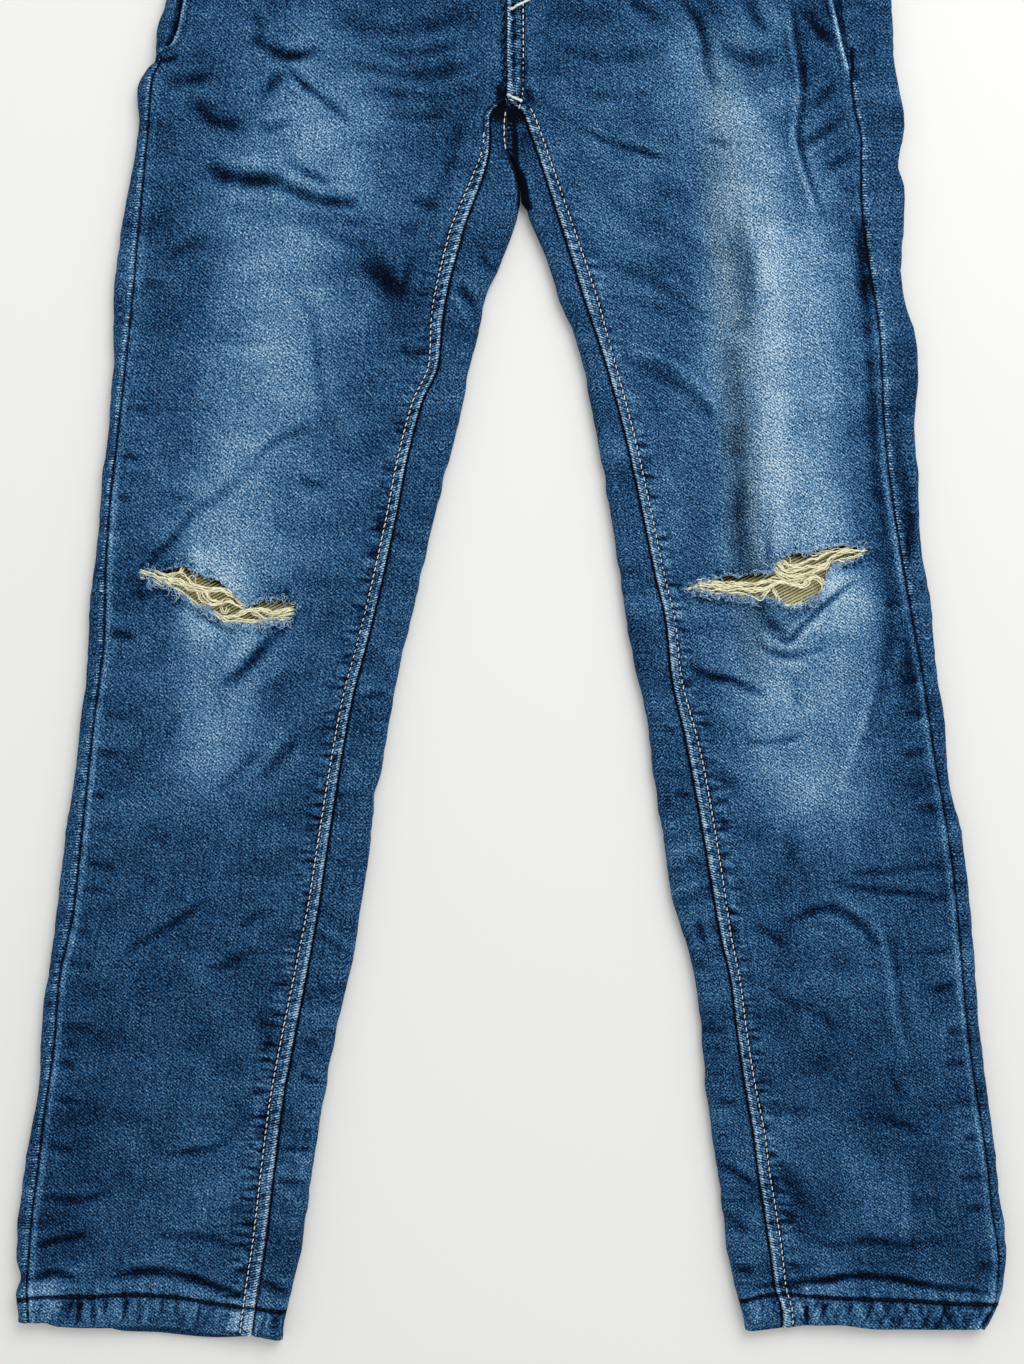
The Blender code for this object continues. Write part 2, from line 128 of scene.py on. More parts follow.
RIGHT_INNER = [
    (-526, -101), (-517, -100), (-504, -97), (-491, -93), (-465, -89), (-439, -85),
    (-414, -81), (-388, -76), (-362, -70), (-336, -66), (-310, -62), (-292, -60.5),
    (-285, -58.5), (-259, -54), (-233, -49), (-207, -43), (-181, -37), (-156, -31),
    (-130, -24), (-104, -19), (-91, -15.5), (-78, -13), (-65, -7), (-52, -2), (-41, 1),
    (-37, 2), (-34, 2.3), (-25, 1), (-10, FLY_EDGE), (170, FLY_EDGE),
]
LEFT_OUTER = [
    (-521, 203), (-514, 208.5), (-508, 210.5), (-491, 212), (-465, 209), (-439, 206),
    (-414, 203), (-388, 200), (-362, 198), (-336, 196), (-310, 193), (-285, 187),
    (-259, 185), (-233, 181), (-207, 179), (-181, 175), (-156, 174), (-130, 172.5),
    (-104, 174), (-91, 172), (-78, 168), (-65, 166.5), (-52, 167), (-30, 168), (-20, 165.5),
    (-14, 166), (-1, 168), (12, 166), (25, 163.5), (51, 162), (110, 154), (170, 143),
]
LEFT_SIDE = [
    (-521, 199.4), (-508, 206.6), (-492, 208), (-469, 205), (-446, 202.5), (-420, 198.5),
    (-399, 195.5), (-375, 193), (-351, 191), (-325, 188.5), (-301, 185), (-272, 180),
    (-244, 176), (-216, 171), (-187, 166), (-161, 162), (-134, 159), (-94, 157),
    (-60, 152), (-30, 149), (-10, 149), (5, 146), (18, 144.5), (26, 144), (51, 140.5),
    (110, 140), (170, 138),
]
LEFT_INSEAM = [
    (-521, 115.3), (-514, 115), (-503, 112), (-492, 110.5), (-468, 107), (-456, 105),
    (-436, 102.5), (-412.5, 98.5), (-391, 95.5), (-371, 93), (-349, 88), (-328, 84.5),
    (-291, 78), (-265, 73), (-240, 67.5), (-216, 65), (-199, 61), (-170, 55), (-134, 47),
    (-102, 38), (-78, 30), (-51, 21.5), (-37, 17), (-15.5, 10), (-1, 5), (3, 3.2), (5, 1),
    (7, -2.2), (INSEAM_TOP, FLY_EDGE), (170, FLY_EDGE),
]
LEFT_INNER = [
    (-521, 100), (-508, 96.5), (-491, 92), (-465, 89), (-439, 85), (-414, 82), (-388, 80),
    (-362, 76), (-336, 68), (-310, 64), (-285, 60), (-259, 57), (-233, 51), (-207, 47),
    (-181, 43), (-156, 39), (-130, 34), (-104, 29), (-91, 25), (-78, 19), (-65, 15),
    (-52, 10), (-42, 6.2), (-38.5, 5), (-36.5, 3), (-34, 2.8), (-25, 1.5), (-10, FLY_EDGE),
    (170, FLY_EDGE),
]
seams = RIGHT_SIDE + RIGHT_INSEAM + LEFT_SIDE + LEFT_INSEAM
print("points on the side seams and inseams:", len(seams))

# %% Lines across the hems, (x, y), and the pocket mouths, (y, x)
RIGHT_BOTTOM = [
    (-214, -517.5), (-202, -518), (-197, -519.8), (-184, -520.4), (-156, -520.5),
    (-140, -522), (-128, -523), (-113, -523.6), (-101, -525.5),
]
RIGHT_HEM_STITCH = [
    (-215, -508), (-203, -507), (-184, -507), (-166, -506), (-147, -507), (-128, -510),
    (-110, -512), (-97, -513.5),
]
LEFT_BOTTOM = [
    (98, -521.6), (105, -521), (115, -520.3), (127, -519.2), (139, -519), (157, -521),
    (167, -521), (185, -521), (198, -520.5), (205, -518), (211, -512),
]
LEFT_HEM_STITCH = [
    (95, -509.2), (103, -507.2), (111, -506), (126, -506.6), (139, -507.4), (152, -508),
    (167, -508.5), (194, -510), (212, -510),
]
RIGHT_MOUTH = [
    (25, -152), (29, -153), (31, -148.5), (39, -145), (51, -142.5), (110, -127), (170, -107),
]
LEFT_MOUTH = [(18, 144.5), (26, 142.6), (32, 141), (51, 137), (110, 123), (170, 105)]

# how far the topstitching runs from the inseam and, above the crotch, the fly edge
RIGHT_TOPSTITCH = [
    (-525, 5.2), (-440, 5.6), (-380, 5.4), (-320, 4.3), (-110, 4.0), (-80, 5.0), (-50, 5.6),
    (-25, 4.4), (-8, 2.4), (8, 2.4), (170, 2.4),
]
LEFT_TOPSTITCH = [
    (-521, 4.2), (-480, 5.0), (-440, 4.8), (-400, 4.0), (-370, 3.8), (-340, 4.8), (-280, 5.4),
    (-240, 4.0), (-130, 3.7), (-100, 4.2), (-75, 5.6), (-40, 4.8), (0, 4.2), (16, 7.1), (170, 7.1),
]

Leg = namedtuple("Leg", "across outer side inseam inner topstitch bottom stitch mouth peek")
RIGHT_LEG = Leg(
    1.0, RIGHT_OUTER, RIGHT_SIDE, RIGHT_INSEAM, RIGHT_INNER, RIGHT_TOPSTITCH, RIGHT_BOTTOM,
    RIGHT_HEM_STITCH, RIGHT_MOUTH,
    [(-215, 0), (-180, 0), (-168, 2.2), (-140, 2.6), (-118, 1.6), (-108, 0), (-98, 0)],
)
LEFT_LEG = Leg(
    -1.0, LEFT_OUTER, LEFT_SIDE, LEFT_INSEAM, LEFT_INNER, LEFT_TOPSTITCH, LEFT_BOTTOM,
    LEFT_HEM_STITCH, LEFT_MOUTH, [(95, 0), (212, 0)],
)


def read_line(table, at):
    """Values at the given places of a smooth curve through a table's points."""
    knots, values = np.array(sorted(table), float).T
    gaps = np.diff(knots)
    rises = np.diff(values) / gaps
    slopes = np.concatenate([rises[:1], rises[:1], rises[1:]])
    before, after = rises[:-1], rises[1:]
    same_way = before * after > 0
    mean = 2 * before * after / np.where(same_way, before + after, 1.0)
    slopes[1:-1] = np.where(same_way, mean, 0.0)
    at = np.clip(at, knots[0], knots[-1])
    k = np.clip(np.searchsorted(knots, at, side="right") - 1, 0, len(gaps) - 1)
    t = (at - knots[k]) / gaps[k]
    rise = values[k + 1] - values[k]
    leave, arrive = slopes[k] * gaps[k], slopes[k + 1] * gaps[k]
    curve = values[k] + rise * (3 * t**2 - 2 * t**3)
    return curve + leave * (t**3 - 2 * t**2 + t) + arrive * (t**3 - t**2)


def ease(low, high, value):
    """0 below low, 1 above high, eased between."""
    t = np.clip((np.asarray(value, float) - low) / (high - low), 0.0, 1.0)
    return t * t * (3 - 2 * t)


def bell(value, width):
    """1 at 0, falling away on both sides."""
    return np.exp(-np.square(np.asarray(value, float) / width))


knee = read_line(RIGHT_INNER, -200.0) - read_line(RIGHT_OUTER, -200.0)
print("width of a leg at the knee, mm:", round(float(knee), 1))

# %% [markdown]
# ## Uneven cloth
#
# Real cloth is never quite even. A lattice of random heights, eased between its
# points, gives soft lumps of any chosen size, the same ones on each run because
# each lattice has its own seed.

# %% Soft random lumps
LATTICE = 128


def lumps(x, y, size_x, size_y, seed):
    """Soft uneven field in -1..1 with lumps of the given sizes."""
    table = np.random.default_rng(seed).uniform(-1.0, 1.0, (LATTICE, LATTICE))
    u, v = np.broadcast_arrays(np.asarray(x, float) / size_x, np.asarray(y, float) / size_y)
    i, j = np.floor(u).astype(int), np.floor(v).astype(int)
    s, t = u - i, v - j
    s, t = s * s * (3 - 2 * s), t * t * (3 - 2 * t)
    i0, j0, i1, j1 = i % LATTICE, j % LATTICE, (i + 1) % LATTICE, (j + 1) % LATTICE
    low = table[i0, j0] * (1 - s) + table[i1, j0] * s
    high = table[i0, j1] * (1 - s) + table[i1, j1] * s
    return low * (1 - t) + high * t


def wobble(along, size, seed):
    """Soft uneven line in -1..1."""
    return lumps(along, np.zeros_like(along), size, 1.0, seed)


print("range of a lump field:", float(lumps(np.arange(200.0), 3.0, 5, 5, 1).min().round(2)))

# %% [markdown]
# ## Creases
#
# Creases are placed one by one: each is a short path with its own width and depth.
# A trough also holds less worn, darker cloth than the ridges beside it, because
# the ridges are what rubs; its darkness is also painted shade, and its banks are
# painted a little lighter, so each crease has a shade of its own too. A row with
# a depth below zero is a ridge, and its shade below zero paints it lighter.

# %% Creases of the wearer's right leg: path, width, depth, shade; the slit's are on both legs
Crease = namedtuple("Crease", "path width depth shade")
SLIT_CREASES = (
    ([(-0.6, 2), (-0.2, -6), (0.3, -14), (1.0, -22), (1.8, -28)], 1.0, 1.4, 0.55),
    ([(2.0, -22), (3.0, -28), (3.9, -33), (4.6, -40)], 1.7, 1.4, 0.55),
)
RIGHT_CREASES = [Crease(*row) for row in (
    # the knob at the foot of the pocket, with painted shadow below it
    ([(-158, 27), (-153.5, 24.6), (-149, 24.8), (-145, 27)], 1.0, 0.9, 0.36),
    # below the pocket and across the top of the thigh
    ([(-114, 35), (-105, 30), (-96, 27), (-83, 30)], 2.5, 1.2, 0.40),
    ([(-101, 24), (-96, 20), (-90, 14), (-82, 8), (-73, 0), (-70, -3)], 1.5, 1.1, 0.36),
    ([(-99, 21), (-104, 15), (-110, 8)], 2.8, 0.8, 0.20),
    ([(-150, 15), (-140, 17), (-130, 18)], 2.8, 0.8, 0.24),
    ([(-138, 9), (-132, 1), (-125, -2), (-116, -3)], 2.7, 1.0, 0.28),
    ([(-111, -2), (-104, -4), (-96, 0)], 2.4, 0.7, 0.18),
    ([(-133, -20), (-123, -25), (-110, -26.5), (-99, -27)], 3.6, 1.4, 0.46),
    ([(-104, -27), (-95, -31), (-86, -34.5), (-76, -36), (-66, -37)], 2.5, 1.2, 0.40),
    ([(-99, -17), (-90, -23), (-79, -29)], 1.8, 0.9, 0.26),
    ([(-80, -42), (-70, -44), (-62, -45)], 2.4, 0.5, 0.10),
    ([(-114, 46), (-109, 39), (-111, 33)], 2.2, 0.6, 0.16),
    # the arcs that spread from the crotch
    ([(-80, 46), (-66, 39), (-50, 38), (-34, 40), (-18, 45)], 3.4, 0.7, 0.12),
    ([(-72, 36), (-60, 30), (-46, 28), (-30, 31), (-14, 37)], 2.4, 0.6, 0.09),
    ([(-76, 25), (-62, 22), (-48, 19), (-32, 20), (-12, 26)], 2.8, 0.7, 0.12),
    ([(-70, 13), (-54, 11), (-38, 9), (-24, 11), (-10, 15)], 2.4, 0.6, 0.08),
    ([(-64, 3), (-50, 1), (-36, 1), (-26, 3)], 2.2, 0.5, 0.08),
    # the pit below the fly and the slit between the legs, both dark with painted shadow
    ([(-6.6, 14.5), (-6.0, 11.0), (-5.8, 7.5), (-8.0, 4.0)], 2.2, 1.0, 0.34),
    ([(-4.6, 52), (-4.8, 40), (-5.0, 26), (-4.8, 12)], 1.1, 0.5, 0.14),
    *SLIT_CREASES,
    # beside the inseam
    ([(-20, 4), (-25, -8), (-28, -20), (-34, -32), (-38, -44)], 2.6, 0.8, 0.12),
    ([(-46, -35), (-38, -37), (-32, -38)], 2.2, 0.6, 0.14),
    ([(-53, -43), (-46, -47), (-40, -48)], 2.2, 0.6, 0.14),
    ([(-50, -98), (-43, -102), (-38, -101)], 2.6, 0.8, 0.16),
    ([(-84, -48), (-72, -53), (-59, -55)], 2.6, 0.6, 0.10),
    ([(-66, -60), (-58, -67), (-52, -73), (-45, -76)], 4.6, 1.1, 0.25),
    ([(-44, -58), (-46, -66), (-48, -74)], 2.0, 0.7, 0.13),
    # thigh
    ([(-103, -75), (-95, -76), (-89, -81), (-86, -95), (-85, -110), (-81, -126), (-76, -143)],
        2.1, 0.8, 0.13),
    ([(-88, -132), (-97, -136), (-106, -141), (-114, -149)], 2.0, 0.9, 0.16),
    ([(-111, -148), (-121, -157), (-131, -166), (-137, -170)], 2.6, 0.7, 0.12),
    ([(-130, -163), (-138, -169), (-147, -181), (-160, -193)], 1.8, 0.9, 0.20),
    ([(-93, -154), (-88, -157), (-80, -158)], 2.2, 0.7, 0.20),
    ([(-150, -61), (-141, -55), (-130, -50)], 2.4, 0.6, 0.09),
    ([(-129, -93), (-118, -96), (-106, -95)], 2.4, 0.6, 0.13),
    ([(-152, -160), (-144, -163), (-135, -163)], 2.0, 0.5, 0.10),
    ([(-136, -95), (-132, -110), (-139, -122)], 2.4, -0.4, -0.06),
    # on the back strip beside the inseam
    ([(-24, -71), (-15, -85)], 1.8, 0.6, 0.22),
    ([(-28, -74), (-22, -84), (-17, -93)], 1.1, -0.5, -0.16),
    ([(-15, -58), (-9, -67)], 1.8, 0.6, 0.18),
    # knee
    ([(-140, -185), (-134, -191)], 2.4, -0.6, -0.14),
    ([(-127, -243), (-120, -240), (-114, -234), (-107, -226), (-99, -219)], 2.8, 1.5, 0.38),
    ([(-118, -246), (-108, -242), (-98, -234)], 2.0, -0.5, -0.08),
    ([(-166, -204), (-156, -206)], 2.0, 0.6, 0.18),
    ([(-136, -213), (-126, -218)], 2.0, 0.6, 0.20),
    ([(-173, -221), (-163, -223)], 2.0, 0.6, 0.16),
    # shin
    ([(-111, -285), (-104, -278), (-97, -270), (-91, -262)], 2.6, 0.8, 0.15),
    ([(-128, -290), (-119, -281), (-112, -274), (-108, -267)], 2.6, 0.8, 0.13),
    ([(-150, -268), (-148, -262), (-144, -256)], 2.0, 0.5, 0.12),
    ([(-172, -362), (-158, -353), (-145, -345), (-130, -334)], 1.9, 0.8, 0.14),
    ([(-136, -366), (-126, -365), (-114, -359), (-108, -357)], 2.2, 0.7, 0.14),
    ([(-119, -350), (-112, -343), (-103, -341)], 1.9, 0.6, 0.13),
    ([(-112, -384), (-107, -391), (-105, -400)], 3.0, 0.6, 0.12),
    ([(-150, -446), (-142, -445), (-134, -444), (-123, -441)], 1.6, 0.8, 0.18),
    ([(-131, -470), (-120, -470), (-110, -468)], 1.7, 0.7, 0.13),
    ([(-157, -480), (-143, -481), (-131, -482), (-119, -486)], 1.7, 0.7, 0.14),
    ([(-207, -463), (-195, -465), (-184, -465), (-172, -461)], 1.6, 0.8, 0.17),
    ([(-208, -486), (-199, -483), (-183, -480)], 1.9, 0.9, 0.24),
    ([(-212, -500), (-203, -498), (-196, -497), (-187, -501)], 1.8, 0.9, 0.26),
    ([(-176, -500), (-167, -497), (-156, -496), (-147, -497), (-136, -500), (-126, -504),
        (-116, -507)], 1.9, 1.3, 0.34),
    ([(-110, -501), (-104, -502), (-97, -505)], 1.8, 1.0, 0.26),
    # inner strip, knee to hem
    ([(-68, -250), (-61, -248), (-55, -248)], 1.5, 0.6, 0.20),
    ([(-77, -275), (-68, -273)], 1.5, 0.4, 0.12),
    ([(-77, -292), (-66, -290)], 1.6, 0.5, 0.16),
    ([(-80, -318), (-72, -322)], 1.5, 0.4, 0.12),
    ([(-87, -350), (-78, -355), (-71, -358)], 1.7, 0.6, 0.20),
    ([(-86, -373), (-77, -377)], 1.6, 0.6, 0.16),
    ([(-92, -396), (-84, -398)], 1.5, 0.5, 0.12),
    ([(-93, -412), (-83, -414)], 1.6, 0.6, 0.16),
    ([(-104, -444), (-95, -443), (-87, -444)], 1.6, 0.7, 0.20),
    ([(-103, -457), (-89, -458)], 1.5, 0.7, 0.20),
    ([(-103, -461), (-92, -465)], 1.4, -0.4, -0.10),
)]
print("creases of the right leg:", len(RIGHT_CREASES))

# %% Creases of the wearer's left leg
LEFT_CREASES = [Crease(*row) for row in (
    # the pit below the fly, the slit between the legs, and the fly edge's own groove, all dark with
    # painted shadow
    ([(4.6, 13), (5.6, 10.5), (7.0, 7.8), (9.4, 5.0)], 1.9, 1.0, 0.32),
    ([(-2.4, 8.5), (0.4, 7.4), (3.6, 5.6)], 1.7, 0.5, 0.26),
    *SLIT_CREASES,
    ([(-1.2, 62), (-1.2, 50), (-1.4, 30), (-1.3, 12)], 0.7, 0.5, 0.34),
    # the slit that opens behind the pocket's foot, painted dark as its shadow
    ([(144.9, 31.5), (145.3, 24), (146.2, 15.5)], 0.95, 1.6, 0.72),
    # the felled block of the inseam inside the hem
    ([(125.3, -521), (125.3, -514), (125.2, -507)], 0.7, 0.6, 0.38),
    ([(112, -504.5), (118, -503.6), (125, -503)], 1.6, 0.5, 0.20),
    # top of the thigh, beside the fly and below the pocket
    ([(48, 52), (57, 46), (67, 41)], 2.6, 0.8, 0.17),
    ([(70, 54), (79, 42), (82, 32), (83, 24), (86, 11)], 2.1, 1.0, 0.25),
    ([(88, 33), (94, 28), (103, 25), (114, 28)], 3.6, 0.9, 0.19),
    ([(100, 52), (104, 43), (109, 36)], 2.6, 0.8, 0.20),
    ([(115, 56), (118.5, 36), (121.5, 14), (119.5, -8), (124, -25), (131, -46)], 1.3, -0.9, -0.20),
    ([(119, 56), (121.5, 36), (124.5, 14), (122.5, -8), (126.5, -25), (134, -46)], 1.4, 1.0, 0.22),
    ([(124, 48), (131, 38), (138, 30)], 2.4, 0.8, 0.22),
    ([(125, 5), (131, 8), (138, 16)], 2.0, 0.7, 0.17),
    ([(121, -13), (129, -8), (142, 1)], 1.9, 0.8, 0.19),
    ([(132, -22), (139, -19), (148, -14)], 2.2, 0.8, 0.18),
    ([(125, -16), (134, -10), (143, -5)], 1.4, -0.5, -0.12),
    ([(24, -2), (32, -6), (40, -10), (54, -14), (69, -19)], 1.5, 0.9, 0.24),
    ([(81, -9), (87, -10), (93, -11)], 1.9, 0.7, 0.20),
    ([(18, 30), (34, 26), (52, 27), (68, 32)], 3.0, 0.7, 0.11),
    ([(16, 14), (32, 10), (50, 9), (66, 12)], 2.4, 0.5, 0.06),
    ([(32, -30), (46, -38), (62, -47), (84, -60)], 2.4, 0.6, 0.08),
    ([(36, -46), (52, -52), (70, -62), (88, -76)], 2.2, -0.4, -0.05),
    ([(34, -60), (50, -66), (62, -72), (87, -91)], 2.6, 0.7, 0.10),
    ([(40, -76), (56, -80), (72, -86), (86, -100)], 2.4, 0.6, 0.09),
    ([(48, -96), (56, -101), (69, -106), (84, -121), (90, -131)], 1.8, -0.6, -0.09),
    ([(50, -104), (62, -110), (78, -120), (88, -134)], 2.6, 0.7, 0.12),
    # the patchy furrow down the thigh
    ([(96, -30), (97, -44), (99, -57)], 2.0, 0.5, 0.09),
    ([(95, -44), (97, -60), (99, -76), (98, -90)], 5.0, 0.9, 0.20),
    ([(100, -56), (102, -66), (102, -77)], 2.0, 0.5, 0.14),
    ([(101, -86), (96, -90), (89, -92)], 2.4, 0.6, 0.12),
    ([(92, -94), (95, -110), (97, -126)], 4.6, 0.7, 0.17),
    ([(98, -124), (96, -138), (96, -150)], 4.4, 0.8, 0.17),
    ([(98, -148), (97, -160), (97, -178), (98, -196)], 3.8, 0.9, 0.22),
    ([(109, -170), (109, -184), (110, -196)], 1.8, 0.7, 0.20),
    # the long valley beside the side seam
    ([(149, -22), (148, -38), (149, -52), (151, -67), (152, -87), (153, -101), (154, -121),
        (156, -158), (160, -185), (161, -200)], 2.8, 1.1, 0.19),
    ([(148.5, -40), (150, -62), (152, -84)], 3.4, 0.8, 0.19),
    ([(163, -118), (165, -150), (168, -180), (169, -205)], 2.6, 0.7, 0.12),
    ([(161, -190), (161, -219), (158, -242), (153, -262), (149, -274)], 2.6, 1.1, 0.12),
    ([(155, -240), (149, -262), (142, -280), (140, -292)], 1.6, -0.6, -0.12),
    ([(169, -150), (170, -175), (168, -196)], 2.2, 0.7, 0.14),
    ([(169, -205), (170, -222), (170, -240), (174, -259)], 2.6, 0.6, 0.08),
    # knee
    ([(111, -222.5), (115, -224.4), (118.6, -224.4), (122.6, -219.6), (131, -211.5), (141, -203),
        (148, -198)], 1.3, 1.6, 0.46),
    ([(105, -208), (108, -214), (112, -219), (118, -223)], 2.6, 1.0, 0.24),
    ([(112, -226), (118, -227), (126, -221), (134, -215)], 1.5, -0.6, -0.07),
    ([(103, -222), (107, -227), (113, -230.5), (121, -231), (134, -227)], 1.6, 0.9, 0.30),
    ([(110, -213), (116, -216), (124, -213), (131, -207)], 3.0, 0.5, 0.14),
    ([(126, -226), (138, -224), (146, -226)], 3.4, 0.6, 0.10),
    ([(74, -235), (84, -240), (94, -242), (109, -249)], 1.7, 1.1, 0.32),
    ([(98, -268), (112, -268), (127, -265)], 1.6, 0.8, 0.26),
    ([(119, -238), (121, -246), (122, -256)], 2.2, 0.5, 0.09),
    ([(80, -276), (90, -284), (99, -288)], 2.8, 0.7, 0.14),
    ([(118, -300), (120, -312), (117, -322)], 3.0, 0.5, 0.10),
    # shin
    ([(136, -327), (148, -331), (166, -333), (188, -335)], 1.6, 0.8, 0.17),
    ([(138, -325), (160, -324), (185, -321)], 1.8, 0.6, 0.13),
    ([(134, -329), (144, -338), (150, -344)], 2.2, -0.6, -0.08),
    ([(103, -347), (110, -351), (116, -357)], 1.8, 0.8, 0.18),
    ([(115, -347), (121, -344), (128, -341), (137, -340), (148, -346), (157, -358)],
        1.9, 1.0, 0.22),
    ([(151, -337), (157, -350), (160, -362), (163, -385), (168, -407)], 2.0, -0.8, -0.12),
    ([(158, -348), (163, -362), (167, -385), (172, -405)], 2.0, 0.5, 0.06),
    ([(106, -372), (118, -380), (130, -384)], 2.2, 0.6, 0.10),
    ([(130, -384), (136, -390), (138, -394)], 2.0, 0.6, 0.14),
    ([(100, -424), (115, -426), (130, -428)], 2.4, 0.5, 0.10),
    ([(156, -430), (166, -433), (178, -437)], 2.2, 0.7, 0.14),
    ([(160, -405), (163, -414), (168, -424)], 2.4, 0.6, 0.12),
    ([(108, -449), (118, -458), (128, -470), (140, -474)], 3.4, 0.8, 0.08),
    ([(123, -481), (138, -485), (152, -483), (168, -485), (190, -482)], 1.9, 0.8, 0.16),
    ([(167, -452), (168, -468), (167, -486)], 1.8, -0.5, -0.09),
    ([(96, -504), (108, -502), (120, -500.5), (133, -500), (146, -498), (160, -499),
        (176, -502), (192, -504), (211, -505)], 1.4, 1.1, 0.40),
    # inner strip
    ([(63, -262), (70, -264)], 1.6, 0.5, 0.16),
    ([(64, -281), (73, -283)], 1.6, 0.5, 0.16),
    ([(67, -290), (76, -292)], 1.6, 0.5, 0.16),
    ([(74, -318), (82, -322)], 1.8, 0.5, 0.14),
    ([(78, -344), (83, -358)], 1.8, 0.6, 0.18),
    ([(77, -364), (87, -366)], 1.6, 0.6, 0.18),
    ([(80, -391), (90, -393)], 1.6, 0.6, 0.16),
    ([(86, -422), (96, -424)], 1.6, 0.6, 0.16),
    ([(88, -449), (96, -454), (104, -460)], 1.8, 0.7, 0.20),
    ([(91, -470), (100, -480)], 3.0, 0.7, 0.16),
    ([(93, -494), (104, -496)], 1.8, 0.7, 0.22),
)]
print("creases of the left leg:", len(LEFT_CREASES))

# %% Dimples where the side seams pull the cloth in: levels in mm
RIGHT_DIMPLES = [-70, -124, -145, -163, -222, -256, -272, -291, -320, -331, -350, -363, -390, -406,
                 -421, -442]
LEFT_DIMPLES = [-208, -241, -256, -272, -296, -335, -357, -373, -392, -406, -423, -438, -455, -468,
                -493]


def dimples(leg, levels, seed):
    """Short creases that run inwards from beside the side seam."""
    lengths = np.random.default_rng(seed).uniform(7.0, 15.0, len(levels))
    rows = []
    for level, length in zip(levels, lengths):
        start = float(read_line(leg.side, level)) + leg.across * 1.5
        end = start + leg.across * length
        rows.append(Crease([(start, level), (end, level - length * 0.16)], 1.7, 0.6, 0.15))
    return rows


RIGHT_CREASES += dimples(RIGHT_LEG, RIGHT_DIMPLES, 21)
LEFT_CREASES += dimples(LEFT_LEG, LEFT_DIMPLES, 22)
print("creases and dimples:", len(RIGHT_CREASES), "and", len(LEFT_CREASES))

# %% How a crease bends the cloth
SMOOTH_STEPS = 6
CREASE_REACH = 3.5     # in widths of the crease
RAGGED = 0.35          # how far the line of a crease strays, mm


def passed_along(path):
    """How far along a path each of its points lies."""
    steps = np.linalg.norm(np.diff(path, axis=0), axis=1)
    return np.concatenate([[0.0], np.cumsum(steps)])


def smooth_path(points):
    """A denser path, on a smooth curve through the given points."""
    knots = np.array([points[0]] + list(points) + [points[-1]], float)
    runs = []
    t = np.linspace(0, 1, SMOOTH_STEPS, endpoint=False)[:, None]
    for a, b, c, d in zip(knots, knots[1:], knots[2:], knots[3:]):
        bend = (2 * a - 5 * b + 4 * c - d) * t**2 + (3 * b - 3 * c + d - a) * t**3
        runs.append(0.5 * (2 * b + (c - a) * t + bend))
    return np.vstack(runs + [knots[-1:]])


def from_path(path, x, y):
    """Distance of points from a path, and the share of its length they have passed."""
    passed = passed_along(path)
    best = np.full(x.shape, np.inf)
    share = np.zeros(x.shape)
    for start, end, before in zip(path, path[1:], passed):
        length = np.linalg.norm(end - start)
        run = (end - start) / length
        along = np.clip((x - start[0]) * run[0] + (y - start[1]) * run[1], 0.0, length)
        away = np.hypot(x - start[0] - run[0] * along, y - start[1] - run[1] * along)
        nearer = away < best
        best = np.where(nearer, away, best)
        share = np.where(nearer, (before + along) / passed[-1], share)
    return best, share


def creased(creases, x, y):
    """Height and shade that a list of creases adds at the given points."""
    height = np.zeros(x.shape)
    shade = np.zeros(x.shape)
    stray = lumps(x, y, 6.0, 6.0, 5)
    for number, row in enumerate(creases):
        path = smooth_path(row.path)
        reach = CREASE_REACH * row.width
        low, high = path.min(axis=0) - reach, path.max(axis=0) + reach
        near = (x > low[0]) & (x < high[0]) & (y > low[1]) & (y < high[1])
        if not near.any():
            continue
        away, share = from_path(path, x[near], y[near])
        uneven = 1.0 + 0.3 * wobble(share * passed_along(path)[-1], 7.0, 100 + number)
        strength = (1.0 - np.abs(2 * share - 1) ** 3) * uneven
        ratio = (away + RAGGED * stray[near]) / row.width
        trough = bell(ratio, 1.0)
        banks = bell(ratio - 2.1, 0.9)
        height[near] -= row.depth * strength * (trough - 0.25 * banks)
        # painted shade in the trough, on top of the dye it keeps, and a little painted light on the
        # banks
        shade[near] -= row.shade * strength * (bell(ratio, 0.9) - 0.18 * banks)
    return height, shade


lengths = [passed_along(smooth_path(row.path))[-1] for row in RIGHT_CREASES + LEFT_CREASES]
print("longest crease, mm:", round(float(max(lengths)), 1))
